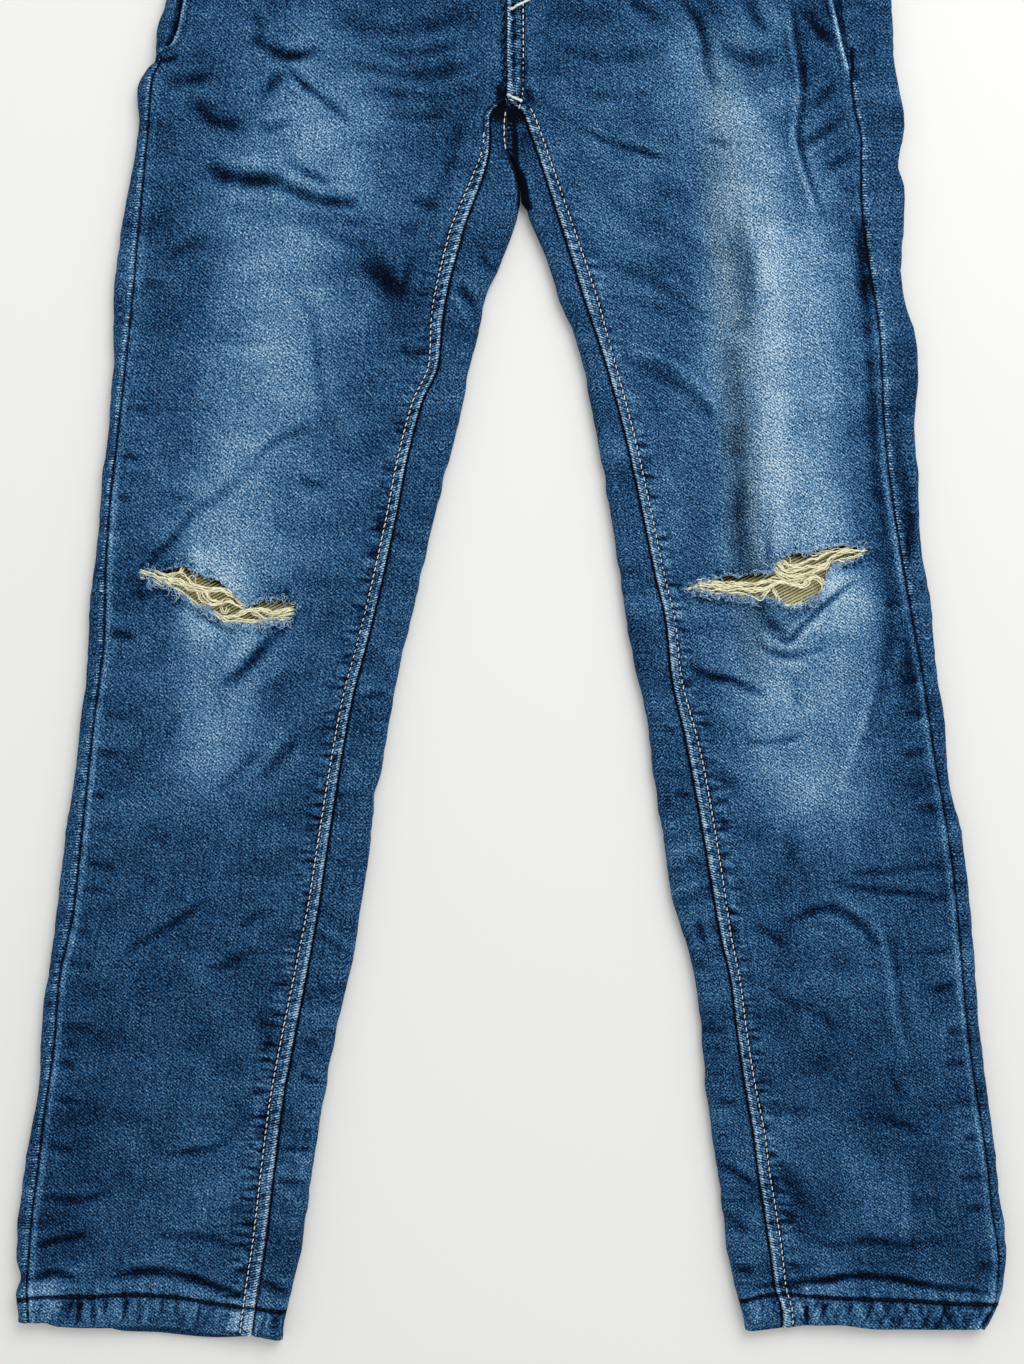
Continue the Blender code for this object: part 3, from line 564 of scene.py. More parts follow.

# %% [markdown]
# ## Fading
#
# The front of the thighs and knees is worn pale. Each fade is a path down the
# leg with its own reach, and the cloth there is lighter.

# %% Worn and darker places, two of them painted shadow: path, reach, strength
Fade = namedtuple("Fade", "path reach strength")   # reach: where it is half as strong
FADES = [Fade(*row) for row in (
    # wearer's right leg: thigh, above the knee, below it
    ([(-88, 26), (-83, 4), (-78, -16)], 17.0, 0.15),
    ([(-98, -20), (-104, -40), (-101, -70), (-106, -100), (-112, -130), (-120, -160),
        (-124, -200), (-128, -240), (-130, -264)], 21.5, 0.29),
    ([(-126, -262), (-124, -304)], 24.0, 0.05),
    ([(-125, -176), (-123, -196)], 12.0, 0.05),
    ([(-110, -216), (-135, -216)], 10.0, 0.16),
    ([(-60, 30), (-55, -15)], 24.0, 0.05),
    ([(-72, -84), (-76, -115), (-84, -150), (-90, -186)], 13.0, 0.08),
    ([(-118, -455), (-100, -462)], 18.0, 0.05),
    # wearer's left leg: hip, the long plateau down to the knee, its pale edge, below the knee
    ([(76, 26), (86, 12), (95, 0), (100, -20), (104, -40)], 14.0, 0.26),
    ([(122, -62), (124, -100), (124, -150), (126, -188)], 18.5, 0.34),
    ([(111, -50), (110, -80), (111, -120), (112, -180)], 6.0, 0.10),
    ([(92, -40), (92, -90), (94, -150)], 13.0, 0.13),
    ([(130, -208), (124, -240), (118, -268), (122, -284)], 18.5, 0.25),
    ([(146, -212), (145, -258)], 10.5, 0.16),
    ([(171, -206), (168, -240)], 8.0, -0.07),
    ([(94, -212), (106, -245)], 18.0, 0.12),
    ([(134, -290), (138, -314), (142, -336)], 13.0, 0.07),
    ([(146, -190), (148, -204)], 9.0, 0.06),
    # smaller rubbed places on both legs
    ([(-134, -190), (-112, -206)], 9.0, 0.08),
    ([(40, 0), (55, -60), (62, -130)], 24.0, 0.09),
    ([(150, -458), (156, -463)], 12.0, 0.05),
    ([(119.8, -519), (119.8, -509)], 4.6, 0.12),
    ([(-117.5, -521), (-117.5, -511)], 4.8, 0.15),
    ([(-106, -523), (-106, -512)], 5.0, -0.12),
    ([(-97, -480), (-100, -504)], 8.0, -0.09),
    ([(-146, 20), (-116, 18)], 9.5, 0.07),
    ([(70, 4), (90, 4), (110, -16), (130, -26), (131, -46)], 8.0, 0.10),
    ([(-112, 2), (-58, 0)], 9.0, 0.05),
    ([(112, -90), (113, -160)], 7.0, 0.07),
    ([(126, -196), (134, -202)], 7.0, 0.10),
    ([(-72, -42), (-52, -38)], 8.0, 0.08),
    ([(70, -178), (90, -182)], 10.0, 0.09),
    ([(-134, -196), (-128, -200)], 6.0, 0.09),
    ([(-9, -20), (10, -20)], 6.0, 0.14),
    ([(-178, -472), (-140, -468)], 9.0, 0.08),
    ([(-206, -504), (-192, -504)], 7.0, 0.12),
    ([(-66, -158), (-66, -192)], 8.0, 0.06),
    ([(-50, -146), (-50, -158)], 7.0, 0.06),
    ([(144, -262), (146, -312)], 8.0, 0.07),
    ([(144, -452), (160, -474)], 8.0, 0.06),
    ([(192, -420), (194, -430)], 7.0, 0.07),
    ([(96, -162), (96, -174)], 7.0, 0.06),
    ([(-96, -370), (-98, -382)], 8.0, 0.08),
    ([(-130, -370), (-130, -382)], 8.0, 0.06),
    ([(-160, -130), (-160, -142)], 8.0, 0.06),
    ([(96, 46), (96, 34)], 7.0, 0.08),
    ([(110, -484), (112, -492)], 8.0, 0.06),
    ([(94, -306), (98, -318)], 8.0, 0.06),
    ([(64, -160), (66, -235)], 8.0, 0.08),
    ([(128, 2), (129, -14)], 6.0, 0.09),
    ([(112, -430), (112, -448)], 8.0, 0.07),
    ([(78, -4), (82, -46)], 8.0, 0.07),
    ([(97, -66), (97, -112)], 7.0, 0.07),
    ([(-128, -66), (-130, -80)], 8.0, 0.06),
    ([(-98, -54), (-80, -58)], 8.0, 0.06),
    ([(160, -306), (162, -318)], 8.0, 0.06),
    ([(160, -232), (158, -250)], 6.0, 0.05),
    ([(160, -34), (160, -110)], 6.0, 0.05),
    ([(-64, 14), (-62, 2)], 8.0, 0.06),
    ([(128, -450), (128, -462)], 7.0, 0.06),
    ([(128, -354), (128, -366)], 7.0, 0.06),
    ([(64, -210), (64, -222)], 7.0, 0.05),
    ([(47, -114), (50, -126)], 7.0, 0.05),
    ([(160, -34), (160, -46)], 6.0, 0.05),
    ([(-160, -82), (-160, -94)], 7.0, 0.05),
    # darker places; the two rows marked below the big crease of the right thigh are painted shadow
    ([(-146, -212), (-146, -268)], 7.0, -0.08),
    ([(-126, -230), (-116, -268)], 10.0, -0.08),
    ([(-80, -6), (-80, -14)], 8.0, -0.06),
    ([(80, -178), (82, -190)], 7.0, -0.05),
    ([(112, 30), (112, 18)], 6.0, -0.05),
    ([(-96, -66), (-96, -78)], 7.0, -0.05),
    ([(-80, 28), (-80, 22)], 7.0, -0.06),
    ([(109, -212), (115, -222)], 6.5, -0.09),
    ([(82, 42), (80, 8)], 7.0, -0.06),
    ([(176, -450), (178, -464)], 7.0, -0.08),
    ([(120, -462), (126, -474)], 8.0, -0.07),
    ([(160, -194), (161, -206)], 6.0, -0.07),
    ([(176, -290), (177, -302)], 7.0, -0.06),
    ([(192, -402), (193, -416)], 7.0, -0.07),
    ([(-96, -418), (-98, -432)], 7.0, -0.07),
    ([(-32, 0), (-34, -16)], 7.0, -0.07),
    ([(-112, -466), (-112, -480)], 7.0, -0.07),
    ([(94, -140), (95, -164)], 7.0, -0.07),
    ([(-112, -306), (-112, -318)], 8.0, -0.06),
    # painted shadow below the big crease of the right thigh
    ([(-84, -38), (-104, -34)], 9.0, -0.11),
    ([(66, -36), (68, -56), (64, -140)], 9.0, -0.06),
    ([(-96, -8), (-86, -22)], 8.0, -0.09),
    # painted shadow below the big crease of the right thigh
    ([(-114, -40), (-104, -46)], 9.0, -0.09),
    ([(-106, -212), (-104, -250)], 8.0, -0.07),
    ([(-112, -198), (-104, -206)], 7.0, -0.14),
    ([(-192, -400), (-196, -480)], 16.0, -0.05),
    ([(-66, -60), (-50, -72), (-44, -84)], 9.0, -0.05),
    ([(-135, 20), (-122, 0), (-112, -14)], 12.0, -0.05),
    ([(110, 56), (112, 30), (115, 6)], 5.5, 0.13),
    ([(128, 45), (131, 10)], 8.0, -0.06),
    ([(125, -415), (165, -425)], 14.0, -0.04),
)]


def faded(x, y):
    """How much paler the worn cloth is; rows below zero darken it, two of them as painted shadow."""
    total = np.zeros(x.shape)
    for row in FADES:
        away, _ = from_path(smooth_path(row.path), x, y)
        total += row.strength / (1.0 + (away / row.reach) ** 4)
    return total


print("worn places:", len(FADES), "of which paler:", sum(row.strength > 0 for row in FADES))

# %% [markdown]
# ## The upper layer
#
# One description of the upper layer serves the front panels, the strips of the
# back panels beside them, and the stitches that lie on both, so they all meet.
# It gives the height of the cloth and its shade at any point.

# %% Seams, hem and fly in relief
TOPSTITCH_AT = 5.0     # the seam distance is scaled so that the topstitching lies here


def seam_distance(leg, x, y):
    """Distance into the front panel from the inseam or fly edge, 5 at its topstitching."""
    inside = leg.across * (read_line(leg.inseam, y) - x)
    scale = TOPSTITCH_AT / read_line(leg.topstitch, y)
    return np.where(inside > 0, inside * scale, inside)


def inseam_relief(inside):
    """Height beside the felled inseam, by the seam distance."""
    felled = 0.8 * ease(0.0, 0.8, inside) * (1 - ease(5.0, 9.0, inside))
    rolled = -0.8 * (1 - ease(0.0, 0.7, inside)) + 0.3 * bell(inside - 1.0, 0.6)
    stitched = -0.45 * bell(inside - TOPSTITCH_AT, 0.7)
    strip = -0.55 * bell(inside, 0.9)
    return np.where(inside > 0, felled + rolled + stitched, strip)


def side_relief(inside):
    """Height beside the side seam, which is pressed open and not topstitched."""
    front = -0.45 * bell(inside, 0.5) + 0.1 * bell(inside - 2.5, 1.6)
    strip = -0.45 * bell(inside, 0.5) + 0.4 * bell(inside + 1.6, 1.0)
    return np.where(inside > 0, front, strip)


def hem_relief(above):
    """Height beside the hem stitching, by the distance above it."""
    groove = -0.75 * bell(above, 0.9)
    roped = 0.35 * bell(above - 3.0, 1.8)
    edge = -0.7 * (1 - ease(-13.5, -11.5, above))
    return groove + roped + edge


def fly_relief(beyond, y):
    """Height beside the fly edge, by the distance into the left front."""
    over = 0.8 * bell(beyond - 0.9, 0.8) + 0.4 * (1 - ease(7.0, 12.0, beyond))
    over -= 0.5 * bell(beyond - 2.6, 0.6) + 0.45 * bell(beyond - 7.1, 0.6)
    under = -1.0 * (1 - ease(0.0, 3.0, -beyond))
    return np.where(beyond > 0, over, under) * ease(4.0, 11.0, y)

# %% Height and shade of the upper layer
Top = namedtuple("Top", "height shade")
# levels between which the puckers beside the inseam fade out, towards the crotch
RIGHT_PUCKERED = (-165.0, -105.0)
LEFT_PUCKERED = (-60.0, -20.0)
INSEAM_FOLD_PITCH = 4.6
RUNG_PITCH = 5.0
PIT = (-1.0, -8.0)     # the hollow below the fly
KNOB = (-152.0, 28.8)  # the raised knob at the foot of the right pocket


def upper_layer(leg, x, y):
    """Height and shade of the upper layer of a leg."""
    x, y = np.broadcast_arrays(np.asarray(x, float), np.asarray(y, float))
    outer = leg.across * (x - read_line(leg.outer, y))
    side = leg.across * (x - read_line(leg.side, y))
    inseam = seam_distance(leg, x, y)
    inner = leg.across * (read_line(leg.inner, y) - x)
    above_hem = y - read_line(leg.stitch, x)
    hem = 1.0 - ease(-1.0, 9.0, above_hem)

    edge = 1.0 - ease(FOLD_RADIUS, FOLD_REACH, outer)
    inner_edge = 1.0 - ease(FOLD_RADIUS, FOLD_REACH, inner)
    edge = np.maximum(edge, inner_edge * (1 - ease(CROTCH_SLIT - 12, CROTCH_SLIT, y)))

    bend, shade = creased(RIGHT_CREASES if leg is RIGHT_LEG else LEFT_CREASES, x, y)
    seed = 31 if leg is RIGHT_LEG else 41
    waves = 0.32 * lumps(x, y, 17, 11, seed) + 0.20 * lumps(x + 0.3 * y, y, 8, 5, seed + 1)
    waves += 0.10 * lumps(x, y, 3.6, 3.0, seed + 2)
    # slanting folds across the felled seam, and rungs pulled in beside its topstitching
    across_seam = y + 0.7 * inseam
    turns = 2 * np.pi * across_seam / INSEAM_FOLD_PITCH
    pucker_in = np.sin(turns + 2.4 * wobble(across_seam, 9.0, seed + 3))
    pucker_in = np.minimum(pucker_in, 0.3) * bell(inseam - 2.7, 1.9) * (1 - hem)
    along_seam = y + 0.2 * inseam
    turns = 2 * np.pi * along_seam / RUNG_PITCH
    pulled = np.sin(turns + 2.6 * wobble(along_seam, 10.0, seed + 6))
    pulled = 0.3 - 1.6 * np.maximum(pulled - 0.15, 0.0)
    reach = 11.0 + 3.0 * wobble(along_seam, 5.0, seed + 10)
    pulled = pulled * ease(5.0, 6.2, inseam) * (1 - ease(reach - 5.0, reach, inseam)) * (1 - hem)
    pulled = pulled * (0.85 + 0.5 * wobble(y, 16.0, seed + 7))
    pulled = pulled * (1 - ease(*(RIGHT_PUCKERED if leg is RIGHT_LEG else LEFT_PUCKERED), y))
    pucker_side = wobble(y + 0.2 * side, 4.4, seed + 4) * bell(side, 6.0)
    strip = wobble(y - 0.3 * inner, 3.4, seed + 8) * ease(0.0, 1.0, -inseam)
    strip = strip * (0.5 + 0.7 * wobble(y, 26.0, seed + 9))
    slant, spacing = (0.4, 1.7) if leg is LEFT_LEG else (0.1, 2.8)
    pucker_hem = wobble(x + slant * above_hem, spacing, seed + 5)
    pucker_hem = pucker_hem * hem * ease(-13, -9, above_hem)

    height = FLAT_HEIGHT + HEM_LIFT * hem + (1 - 0.75 * edge) * bend + (1 - 0.5 * edge) * waves
    height += (2 * FOLD_RADIUS - FLAT_HEIGHT) * edge
    height += 0.45 * pucker_in + 0.45 * pulled + 0.22 * pucker_side + 0.28 * pucker_hem + 0.25 * strip
    mouth = ease(leg.mouth[0][0], leg.mouth[0][0] + 8.0, y)
    height += inseam_relief(inseam) * (y < INSEAM_TOP) + side_relief(side) * (1 - 0.9 * mouth)
    height += hem_relief(above_hem) + fly_relief(x - FLY_EDGE, y)
    hollow = bell(x - PIT[0], 8.0) * bell(y - PIT[1], 16.0)
    height -= 2.2 * hollow
    if leg is RIGHT_LEG:
        height += 1.1 * bell(np.hypot(x - KNOB[0], y - KNOB[1]), 3.4)
    height = np.maximum(height, LOWEST_TOP)

    # the shade follows the relief: painted light on the tops of the waves and puckers, painted shade in
    # their hollows, together with the wear on their ridges
    barred = 0.06 + 0.20 * ease(-230.0, -170.0, y) if leg is RIGHT_LEG else 0.07
    shade = shade + 0.18 * waves + barred * pucker_in + 0.16 * pulled
    shade = shade + 0.08 * pucker_side + 0.15 * pucker_hem + 0.07 * strip
    # the side seam is rubbed on the strip higher up and on the front lower down
    lower_side = 1 - ease(-170.0, -110.0, y)
    shade = shade + 0.15 * lower_side * bell(side - 1.7, 1.1)
    shade = shade + 0.08 * (1 - lower_side) * (1 - mouth) * bell(side + 1.4, 0.8)
    # painted shadow in the hollow below the fly
    shade = shade - 0.20 * hollow
    return Top(height, shade)


level = np.array([-200.0, -400.0])
print("height at the middle of a leg, mm:", upper_layer(RIGHT_LEG, -130.0, level).height.round(2))

# %% [markdown]
# ## Panels as fine grids
#
# `bmesh.ops.create_grid` gives the even sheet of faces, and each of its rows is
# then laid along one level of the cut. The rows lie closer at the hem and at the
# knee, and the columns lie closer at the seams, where the relief is finest.

# %% Rows and columns
ROW_ZONES = [
    (HEM_LEVEL, 0.85), (-500.0, 1.45), (-224.0, 1.0), (-180.0, 1.45), (12.0, 1.1), (52.0, 2.6),
    (WAIST_SEAM - SEAM_GAP, None),
]


def row_levels(zones):
    """Levels of a grid's rows, spaced as each zone asks."""
    levels = [zones[0][0]]
    for (start, spacing), (end, _) in zip(zones, zones[1:]):
        count = round((end - start) / spacing)
        levels += [start + (end - start) * step / count for step in range(1, count + 1)]
    return np.array(levels)


def seam_shares(edge_steps, edge_share, middle_steps):
    """Shares across a panel from 0 to 1, close together at both seams."""
    near = edge_share * np.linspace(0, 1, edge_steps + 1) ** 1.5
    middle = np.linspace(edge_share, 1 - edge_share, middle_steps + 1)
    return np.concatenate([near[:-1], middle, 1 - near[::-1][1:]])


def sag(leg, x, y, peek=0.0):
    """How far a row near the hem lies from its level, to follow the bottom edge."""
    drop = read_line(leg.bottom, x) - peek - HEM_LEVEL
    return drop * (1 - ease(HEM_LEVEL, HEM_LEVEL + 45.0, y))


rows = row_levels(ROW_ZONES)
print("rows:", len(rows))

# %% A grid laid along points
Laid = namedtuple("Laid", "x y z u v fade shade side inseam hem sewn")
NO_SEAM = (9.0, 20.0, 40.0, 0.0)   # side, inseam, hem and sewn of a piece that has none of them


def grid_mesh(name, laid):
    """Mesh of a grid whose points, cloth coordinates and shades are given."""
    lines, columns = laid.x.shape
    bm = bmesh.new()
    bm.loops.layers.uv.new("cloth")
    bmesh.ops.create_grid(bm, x_segments=columns - 1, y_segments=lines - 1, size=0.5)
    mesh = bpy.data.meshes.new(name)
    bm.to_mesh(mesh)
    bm.free()
    points = place(laid.x, laid.y, laid.z).reshape(-1)
    mesh.vertices.foreach_set("co", points)
    cloth_uv = np.stack([laid.u, laid.v], axis=-1).reshape(-1, 2) * MM
    corners = np.empty(len(mesh.loops), int)
    mesh.loops.foreach_get("vertex_index", corners)
    mesh.uv_layers["cloth"].uv.foreach_set("vector", cloth_uv[corners].reshape(-1))
    # the wear attribute holds the fade, the shade, which also carries painted shade and light of
    # creases, folds and hollows, and how much seam wear shows
    wear, seams = (laid.fade, laid.shade, laid.sewn), (laid.side, laid.inseam, laid.hem)
    for title, values in (("wear", wear), ("seams", seams)):
        values = np.stack([np.broadcast_to(value, laid.x.shape) for value in values], axis=-1)
        layer = mesh.attributes.new(title, "FLOAT_VECTOR", "POINT")
        layer.data.foreach_set("vector", values.astype(float).reshape(-1))
    mesh.update()
    return mesh

# %% Pieces, their faces and their walls
def face_outwards(mesh, vertex):
    """Turn the faces over if the cloth at the given vertex looks down."""
    bm = bmesh.new()
    bm.from_mesh(mesh)
    bm.normal_update()
    bm.verts.ensure_lookup_table()
    if bm.verts[vertex].normal.z < 0:
        bmesh.ops.reverse_faces(bm, faces=bm.faces)
    bm.to_mesh(mesh)
    bm.free()


def add_piece(name, mesh, *finishes):
    """Object at the origin with its finishes, riding on the jeans."""
    for finish in finishes:
        mesh.materials.append(finish)
    mesh.shade_smooth()
    piece = bpy.data.objects.new(name, mesh)
    bpy.context.scene.collection.objects.link(piece)
    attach(piece, "root")
    return piece


def add_wall(piece, thickness, doubled=None):
    """Give the cloth its thickness, inwards, and its other side its own finish."""
    solid = piece.modifiers.new("Thickness", "SOLIDIFY")
    solid.thickness = thickness * MM
    solid.offset = -1.0
    solid.use_even_offset = False
    solid.material_offset = 1
    solid.material_offset_rim = 0
    if doubled is None:
        return
    group = piece.vertex_groups.new(name="wall")
    group.add(np.flatnonzero(~doubled.reshape(-1)).tolist(), 0.5, "REPLACE")
    group.add(np.flatnonzero(doubled.reshape(-1)).tolist(), 1.0, "REPLACE")
    solid.thickness = 2 * thickness * MM
    solid.vertex_group = "wall"

# %% [markdown]
# ## Denim
#
# Denim is woven from blue warp yarns over pale weft yarns, so close up it is a
# field of light flecks in slanting rows. Wear rubs the blue off: first the
# ridges and seam edges, then whole areas. One number says how pale the cloth is
# at each point, painted shade and light of creases, folds, grooves and hollows
# included, and a ramp of indigo shades turns it into colour. The pattern lies
# on the cloth's own coordinates, so it follows every panel round its folds.
# A soiled band down one thigh is greyer, so it mixes in a second, grey ramp.
#
# A material is a tree of nodes. The small class `Flow` below stands for what a
# node gives out, so that sums of wear can be written with + and * and each sum
# makes its own nodes.

# %% Small helpers for nodes
def dye(red, green, blue):
    """Linear colour of a dye named by how it looks, in 0 to 255."""
    shares = [value / 255 for value in (red, green, blue)]
    return tuple(s / 12.92 if s <= 0.04 else ((s + 0.055) / 1.055) ** 2.4 for s in shares) + (1.0,)


class Flow:
    """What one node gives out. Adding or multiplying it makes the next node."""

    def __init__(self, tree, socket):
        self.tree, self.socket = tree, socket

    def __add__(self, other):
        return math_node("ADD", self, other)

    def __mul__(self, other):
        return math_node("MULTIPLY", self, other)


def feed(tree, socket, value):
    """Connect a flow to a socket, or set the socket to a plain value."""
    if isinstance(value, Flow):
        tree.links.new(value.socket, socket)
    else:
        socket.default_value = value


def add_node(tree, kind, inputs, output=0, **settings):
    """Make a node with its settings and inputs, and give back one of its outputs."""
    made = tree.nodes.new(kind)
    for name, setting in settings.items():
        setattr(made, name, setting)
    for name, value in inputs.items():
        feed(tree, made.inputs[name], value)
    return Flow(tree, made.outputs[output])


def math_node(operation, first, *others):
    """A math node, fed with flows or plain numbers."""
    inputs = dict(enumerate((first, *others)))
    return add_node(first.tree, "ShaderNodeMath", inputs, operation=operation)

# %% Patterns: waves, noise, speckles and bands
def wave(value, pitch):
    """-1 to 1, once for each pitch in mm."""
    return math_node("SINE", value * (2 * math.pi / pitch))


def centred(value, strength):
    """A texture's 0..1 as a plus or minus around nothing."""
    return value * (2 * strength) + -strength


def stretched(vector, size_x, size_y, angle=0.0, size_z=1.0):
    """Coordinates in which a pattern of size 1 gets the given size."""
    if angle:
        inputs = {"Vector": vector, "Angle": math.radians(angle)}
        vector = add_node(vector.tree, "ShaderNodeVectorRotate", inputs, rotation_type="Z_AXIS")
    inputs = {"Vector": vector, "Scale": (1 / size_x, 1 / size_y, 1 / size_z)}
    return add_node(vector.tree, "ShaderNodeMapping", inputs)


def noise(vector, detail=1.0, roughness=0.5):
    """Soft noise of size 1, from 0 to 1."""
    inputs = {"Vector": vector, "Scale": 1.0, "Detail": detail, "Roughness": roughness}
    return add_node(vector.tree, "ShaderNodeTexNoise", inputs, "Fac")


def speckle(vector, size_x, size_y, angle=0.0, strength=1.0, detail=1.0, roughness=0.5):
    """Uneven marks of the given size in mm, that stray both ways from nothing."""
    return centred(noise(stretched(vector, size_x, size_y, angle), detail, roughness), strength)


def bands(vector, pitch, angle, stray):
    """Slanting bands from -1 to 1; angle is that of the direction across them."""
    turn, lean = 2 * math.pi / pitch, math.radians(angle)
    inputs = {0: vector, 1: (turn * math.cos(lean), turn * math.sin(lean), 0)}
    phase = add_node(vector.tree, "ShaderNodeVectorMath", inputs, "Value", operation="DOT_PRODUCT")
    return math_node("SINE", phase + speckle(vector, 3.0, 3.0, strength=stray))

# %% Ramps, profiles and places on the cloth
def ramp(value, stops):
    """Colours drawn along a value from 0 to 1."""
    colour = add_node(value.tree, "ShaderNodeValToRGB", {"Fac": value}, "Color")
    elements = colour.socket.node.color_ramp.elements
    while len(elements) < len(stops):
        elements.new(0.5)
    for element, (position, shade) in zip(elements, stops):
        element.position = position
        element.color = shade
    return colour


def profile(distance, points):
    """A value drawn over a distance in mm, as (distance, value) points."""
    low, high = points[0][0], points[-1][0]
    inputs = {"Value": distance, "From Min": low, "From Max": high}
    share = add_node(distance.tree, "ShaderNodeMapRange", inputs, "Result")
    stops = [((at - low) / (high - low), ((v + 1) / 2,) * 3 + (1.0,)) for at, v in points]
    return ramp(share, stops) * 2.0 + -1.0


def parts(vector):
    """The three numbers of a vector."""
    first = add_node(vector.tree, "ShaderNodeSeparateXYZ", {0: vector})
    return [Flow(vector.tree, socket) for socket in first.socket.node.outputs]


def in_mm(vector):
    """Coordinates in metres turned into mm."""
    inputs = {0: vector, "Scale": 1 / MM}
    return add_node(vector.tree, "ShaderNodeVectorMath", inputs, operation="SCALE")


def on_cloth(tree):
    """Places on the flat cloth, from its own map."""
    return in_mm(add_node(tree, "ShaderNodeUVMap", {}, uv_map="cloth"))


def on_piece(tree):
    """Places in the piece's own space."""
    return in_mm(add_node(tree, "ShaderNodeTexCoord", {}, "Object"))


def read_attribute(tree, name, output="Vector"):
    """What is stored at the mesh's points under a name."""
    return add_node(tree, "ShaderNodeAttribute", {}, output, attribute_name=name)

# %% A finish and its shader
def new_finish(name, roughness, specular):
    """A material, its tree and its shader, ready for its nodes."""
    finish = bpy.data.materials.new(name)
    finish.use_nodes = True
    shader = finish.node_tree.nodes["Principled BSDF"]
    shader.inputs["Roughness"].default_value = roughness
    shader.inputs["Specular IOR Level"].default_value = specular
    return finish, finish.node_tree, shader


def dress(shader, colour, height, depth):
    """Give a shader its colour, and a bump of the given depth in mm."""
    tree = colour.tree
    feed(tree, shader.inputs["Base Color"], colour)
    inputs = {"Strength": 1.0, "Distance": depth * MM, "Height": height}
    feed(tree, shader.inputs["Normal"], add_node(tree, "ShaderNodeBump", inputs, "Normal"))

# %% Indigo shades
INDIGO = [
    (0.00, dye(0, 4, 17)), (0.12, dye(1, 26, 57)), (0.28, dye(25, 66, 106)), (0.44, dye(56, 102, 143)),
    (0.60, dye(92, 138, 176)), (0.80, dye(146, 182, 208)), (1.00, dye(212, 229, 238)),
]
# soiled cloth is greyer at the same paleness
SOILED = [
    (0.0, dye(8, 14, 20)), (0.28, dye(46, 72, 92)), (0.44, dye(80, 108, 128)),
    (0.60, dye(116, 146, 166)), (1.00, dye(208, 220, 226)),
]
# the soiled band: across the leg, leaning by its slant, and up it
SOILED_WIDTH = [(76.0, 0.0), (83.0, 0.75), (90.0, 0.9), (94.0, 0.6), (99.0, 0.25), (112.0, 0.0)]
SOILED_SLANT = 0.07
SOILED_LENGTH = [(-250.0, 0.0), (-205.0, 0.75), (-40.0, 0.9), (0.0, 0.5), (45.0, 0.0)]
print("shades of indigo and of soiled cloth:", len(INDIGO), "and", len(SOILED))

# %% [markdown]
# ### Wear and painted shade along the seams
#
# A seam is a ridge of several layers, so it rubs pale on its top and stays dark
# in the groove beside it, where the dye is kept and the darkness is also painted
# shade. Each table below gives how much paler the cloth is by its distance in mm
# from a seam, into the front panel. The ticks are the short pale bars on a
# rubbed seam edge, the rungs and puckers are the cloth that the stitches draw
# in, and the ribs belong to the seat seam between the legs; rungs, puckers and
# ribs are painted as dark and light bars, painted shade and light of their folds.

# %% Wear and painted shade by distance from a seam
INSEAM_WEAR_AND_SHADE = [
    (-5.0, 0.0), (-1.6, 0.0), (-1.0, -0.08), (-0.5, -0.36), (0.0, -0.36), (0.3, 0.08), (0.6, 0.34),
    (1.7, 0.32), (2.2, 0.06), (2.8, 0.08), (3.8, 0.11), (4.4, -0.06), (4.8, -0.30), (5.3, -0.26),
    (5.9, 0.0), (7.5, 0.06), (12.0, 0.0),
]
SIDE_WEAR_AND_SHADE = [
    (-6.0, 0.03), (-3.2, 0.04), (-2.4, 0.07), (-1.7, 0.12), (-0.8, 0.11), (-0.35, -0.12), (0.0, -0.24),
    (0.35, -0.14), (0.8, 0.06), (2.0, 0.08), (3.5, 0.03), (5.0, 0.0),
]
HEM_WEAR_AND_SHADE = [
    (-14.0, -0.04), (-12.6, 0.1), (-10.0, 0.06), (-3.0, 0.07), (-1.6, 0.05), (-0.9, -0.1),
    (-0.4, -0.42), (0.5, -0.42), (1.0, 0.0), (1.8, 0.12), (4.5, 0.08), (8.0, 0.0),
]
INSEAM_TICKS = [(-0.3, 0.0), (0.3, 0.40), (1.8, 0.38), (2.2, 0.26), (4.3, 0.22), (4.8, 0.0)]
SIDE_TICKS = [(-3.4, 0.0), (-2.2, 0.22), (-0.8, 0.32), (-0.3, 0.06), (0.4, 0.0)]
# the side seam of the wearer's left shin is hardly worn, and kept its dye
SHIN_ACROSS = [(20.0, 0.0), (40.0, 1.0)]
SHIN_UP = [(-235.0, 1.0), (-195.0, 0.0)]
SIDE_KEPT = [
    (-4.0, 0.0), (-2.6, -0.05), (-1.7, -0.09), (-0.8, -0.08), (-0.4, 0.0), (0.5, 0.0), (1.0, -0.05),
    (3.0, 0.0),
]
RUNGS = [(4.6, 0.0), (5.8, 0.12), (8.0, 0.15), (11.0, 0.09), (15.0, 0.0)]
RUNG_LEVELS = [(-150.0, 1.0), (-90.0, 0.7), (-35.0, 0.25), (-15.0, 0.0)]
EDGE_PUCKERS = [(0.3, 0.0), (1.2, 0.09), (3.8, 0.12), (4.6, 0.0)]
HEM_PUCKERS = [(-13.0, 0.0), (-11.0, 0.1), (-3.0, 0.16), (-1.2, 0.0)]
# the fly's folded edge ends in a groove whose darkness is painted shade, and the cloth up to its
# topstitching is little worn
FLY_WEAR_AND_SHADE = [(1.5, 0.0), (2.0, -0.22), (2.5, -0.16), (3.0, -0.02), (4.4, 0.0)]
FLY_LEVELS = [(12.0, 0.0), (16.0, 1.0)]
SEAT_RIB_PITCH = 2.1
SEAT_RIBS_ACROSS = [(-4.2, 0.0), (-3.4, 0.16), (-0.6, 0.16), (0.6, 0.0)]
SEAT_RIBS_UP = [(-14.0, 0.0), (-10.0, 1.0), (1.0, 1.0), (5.0, 0.0)]
TICK_PITCH = 1.12
TICK_LEAN = 0.3
print("steps of wear beside the inseam:", len(INSEAM_WEAR_AND_SHADE))
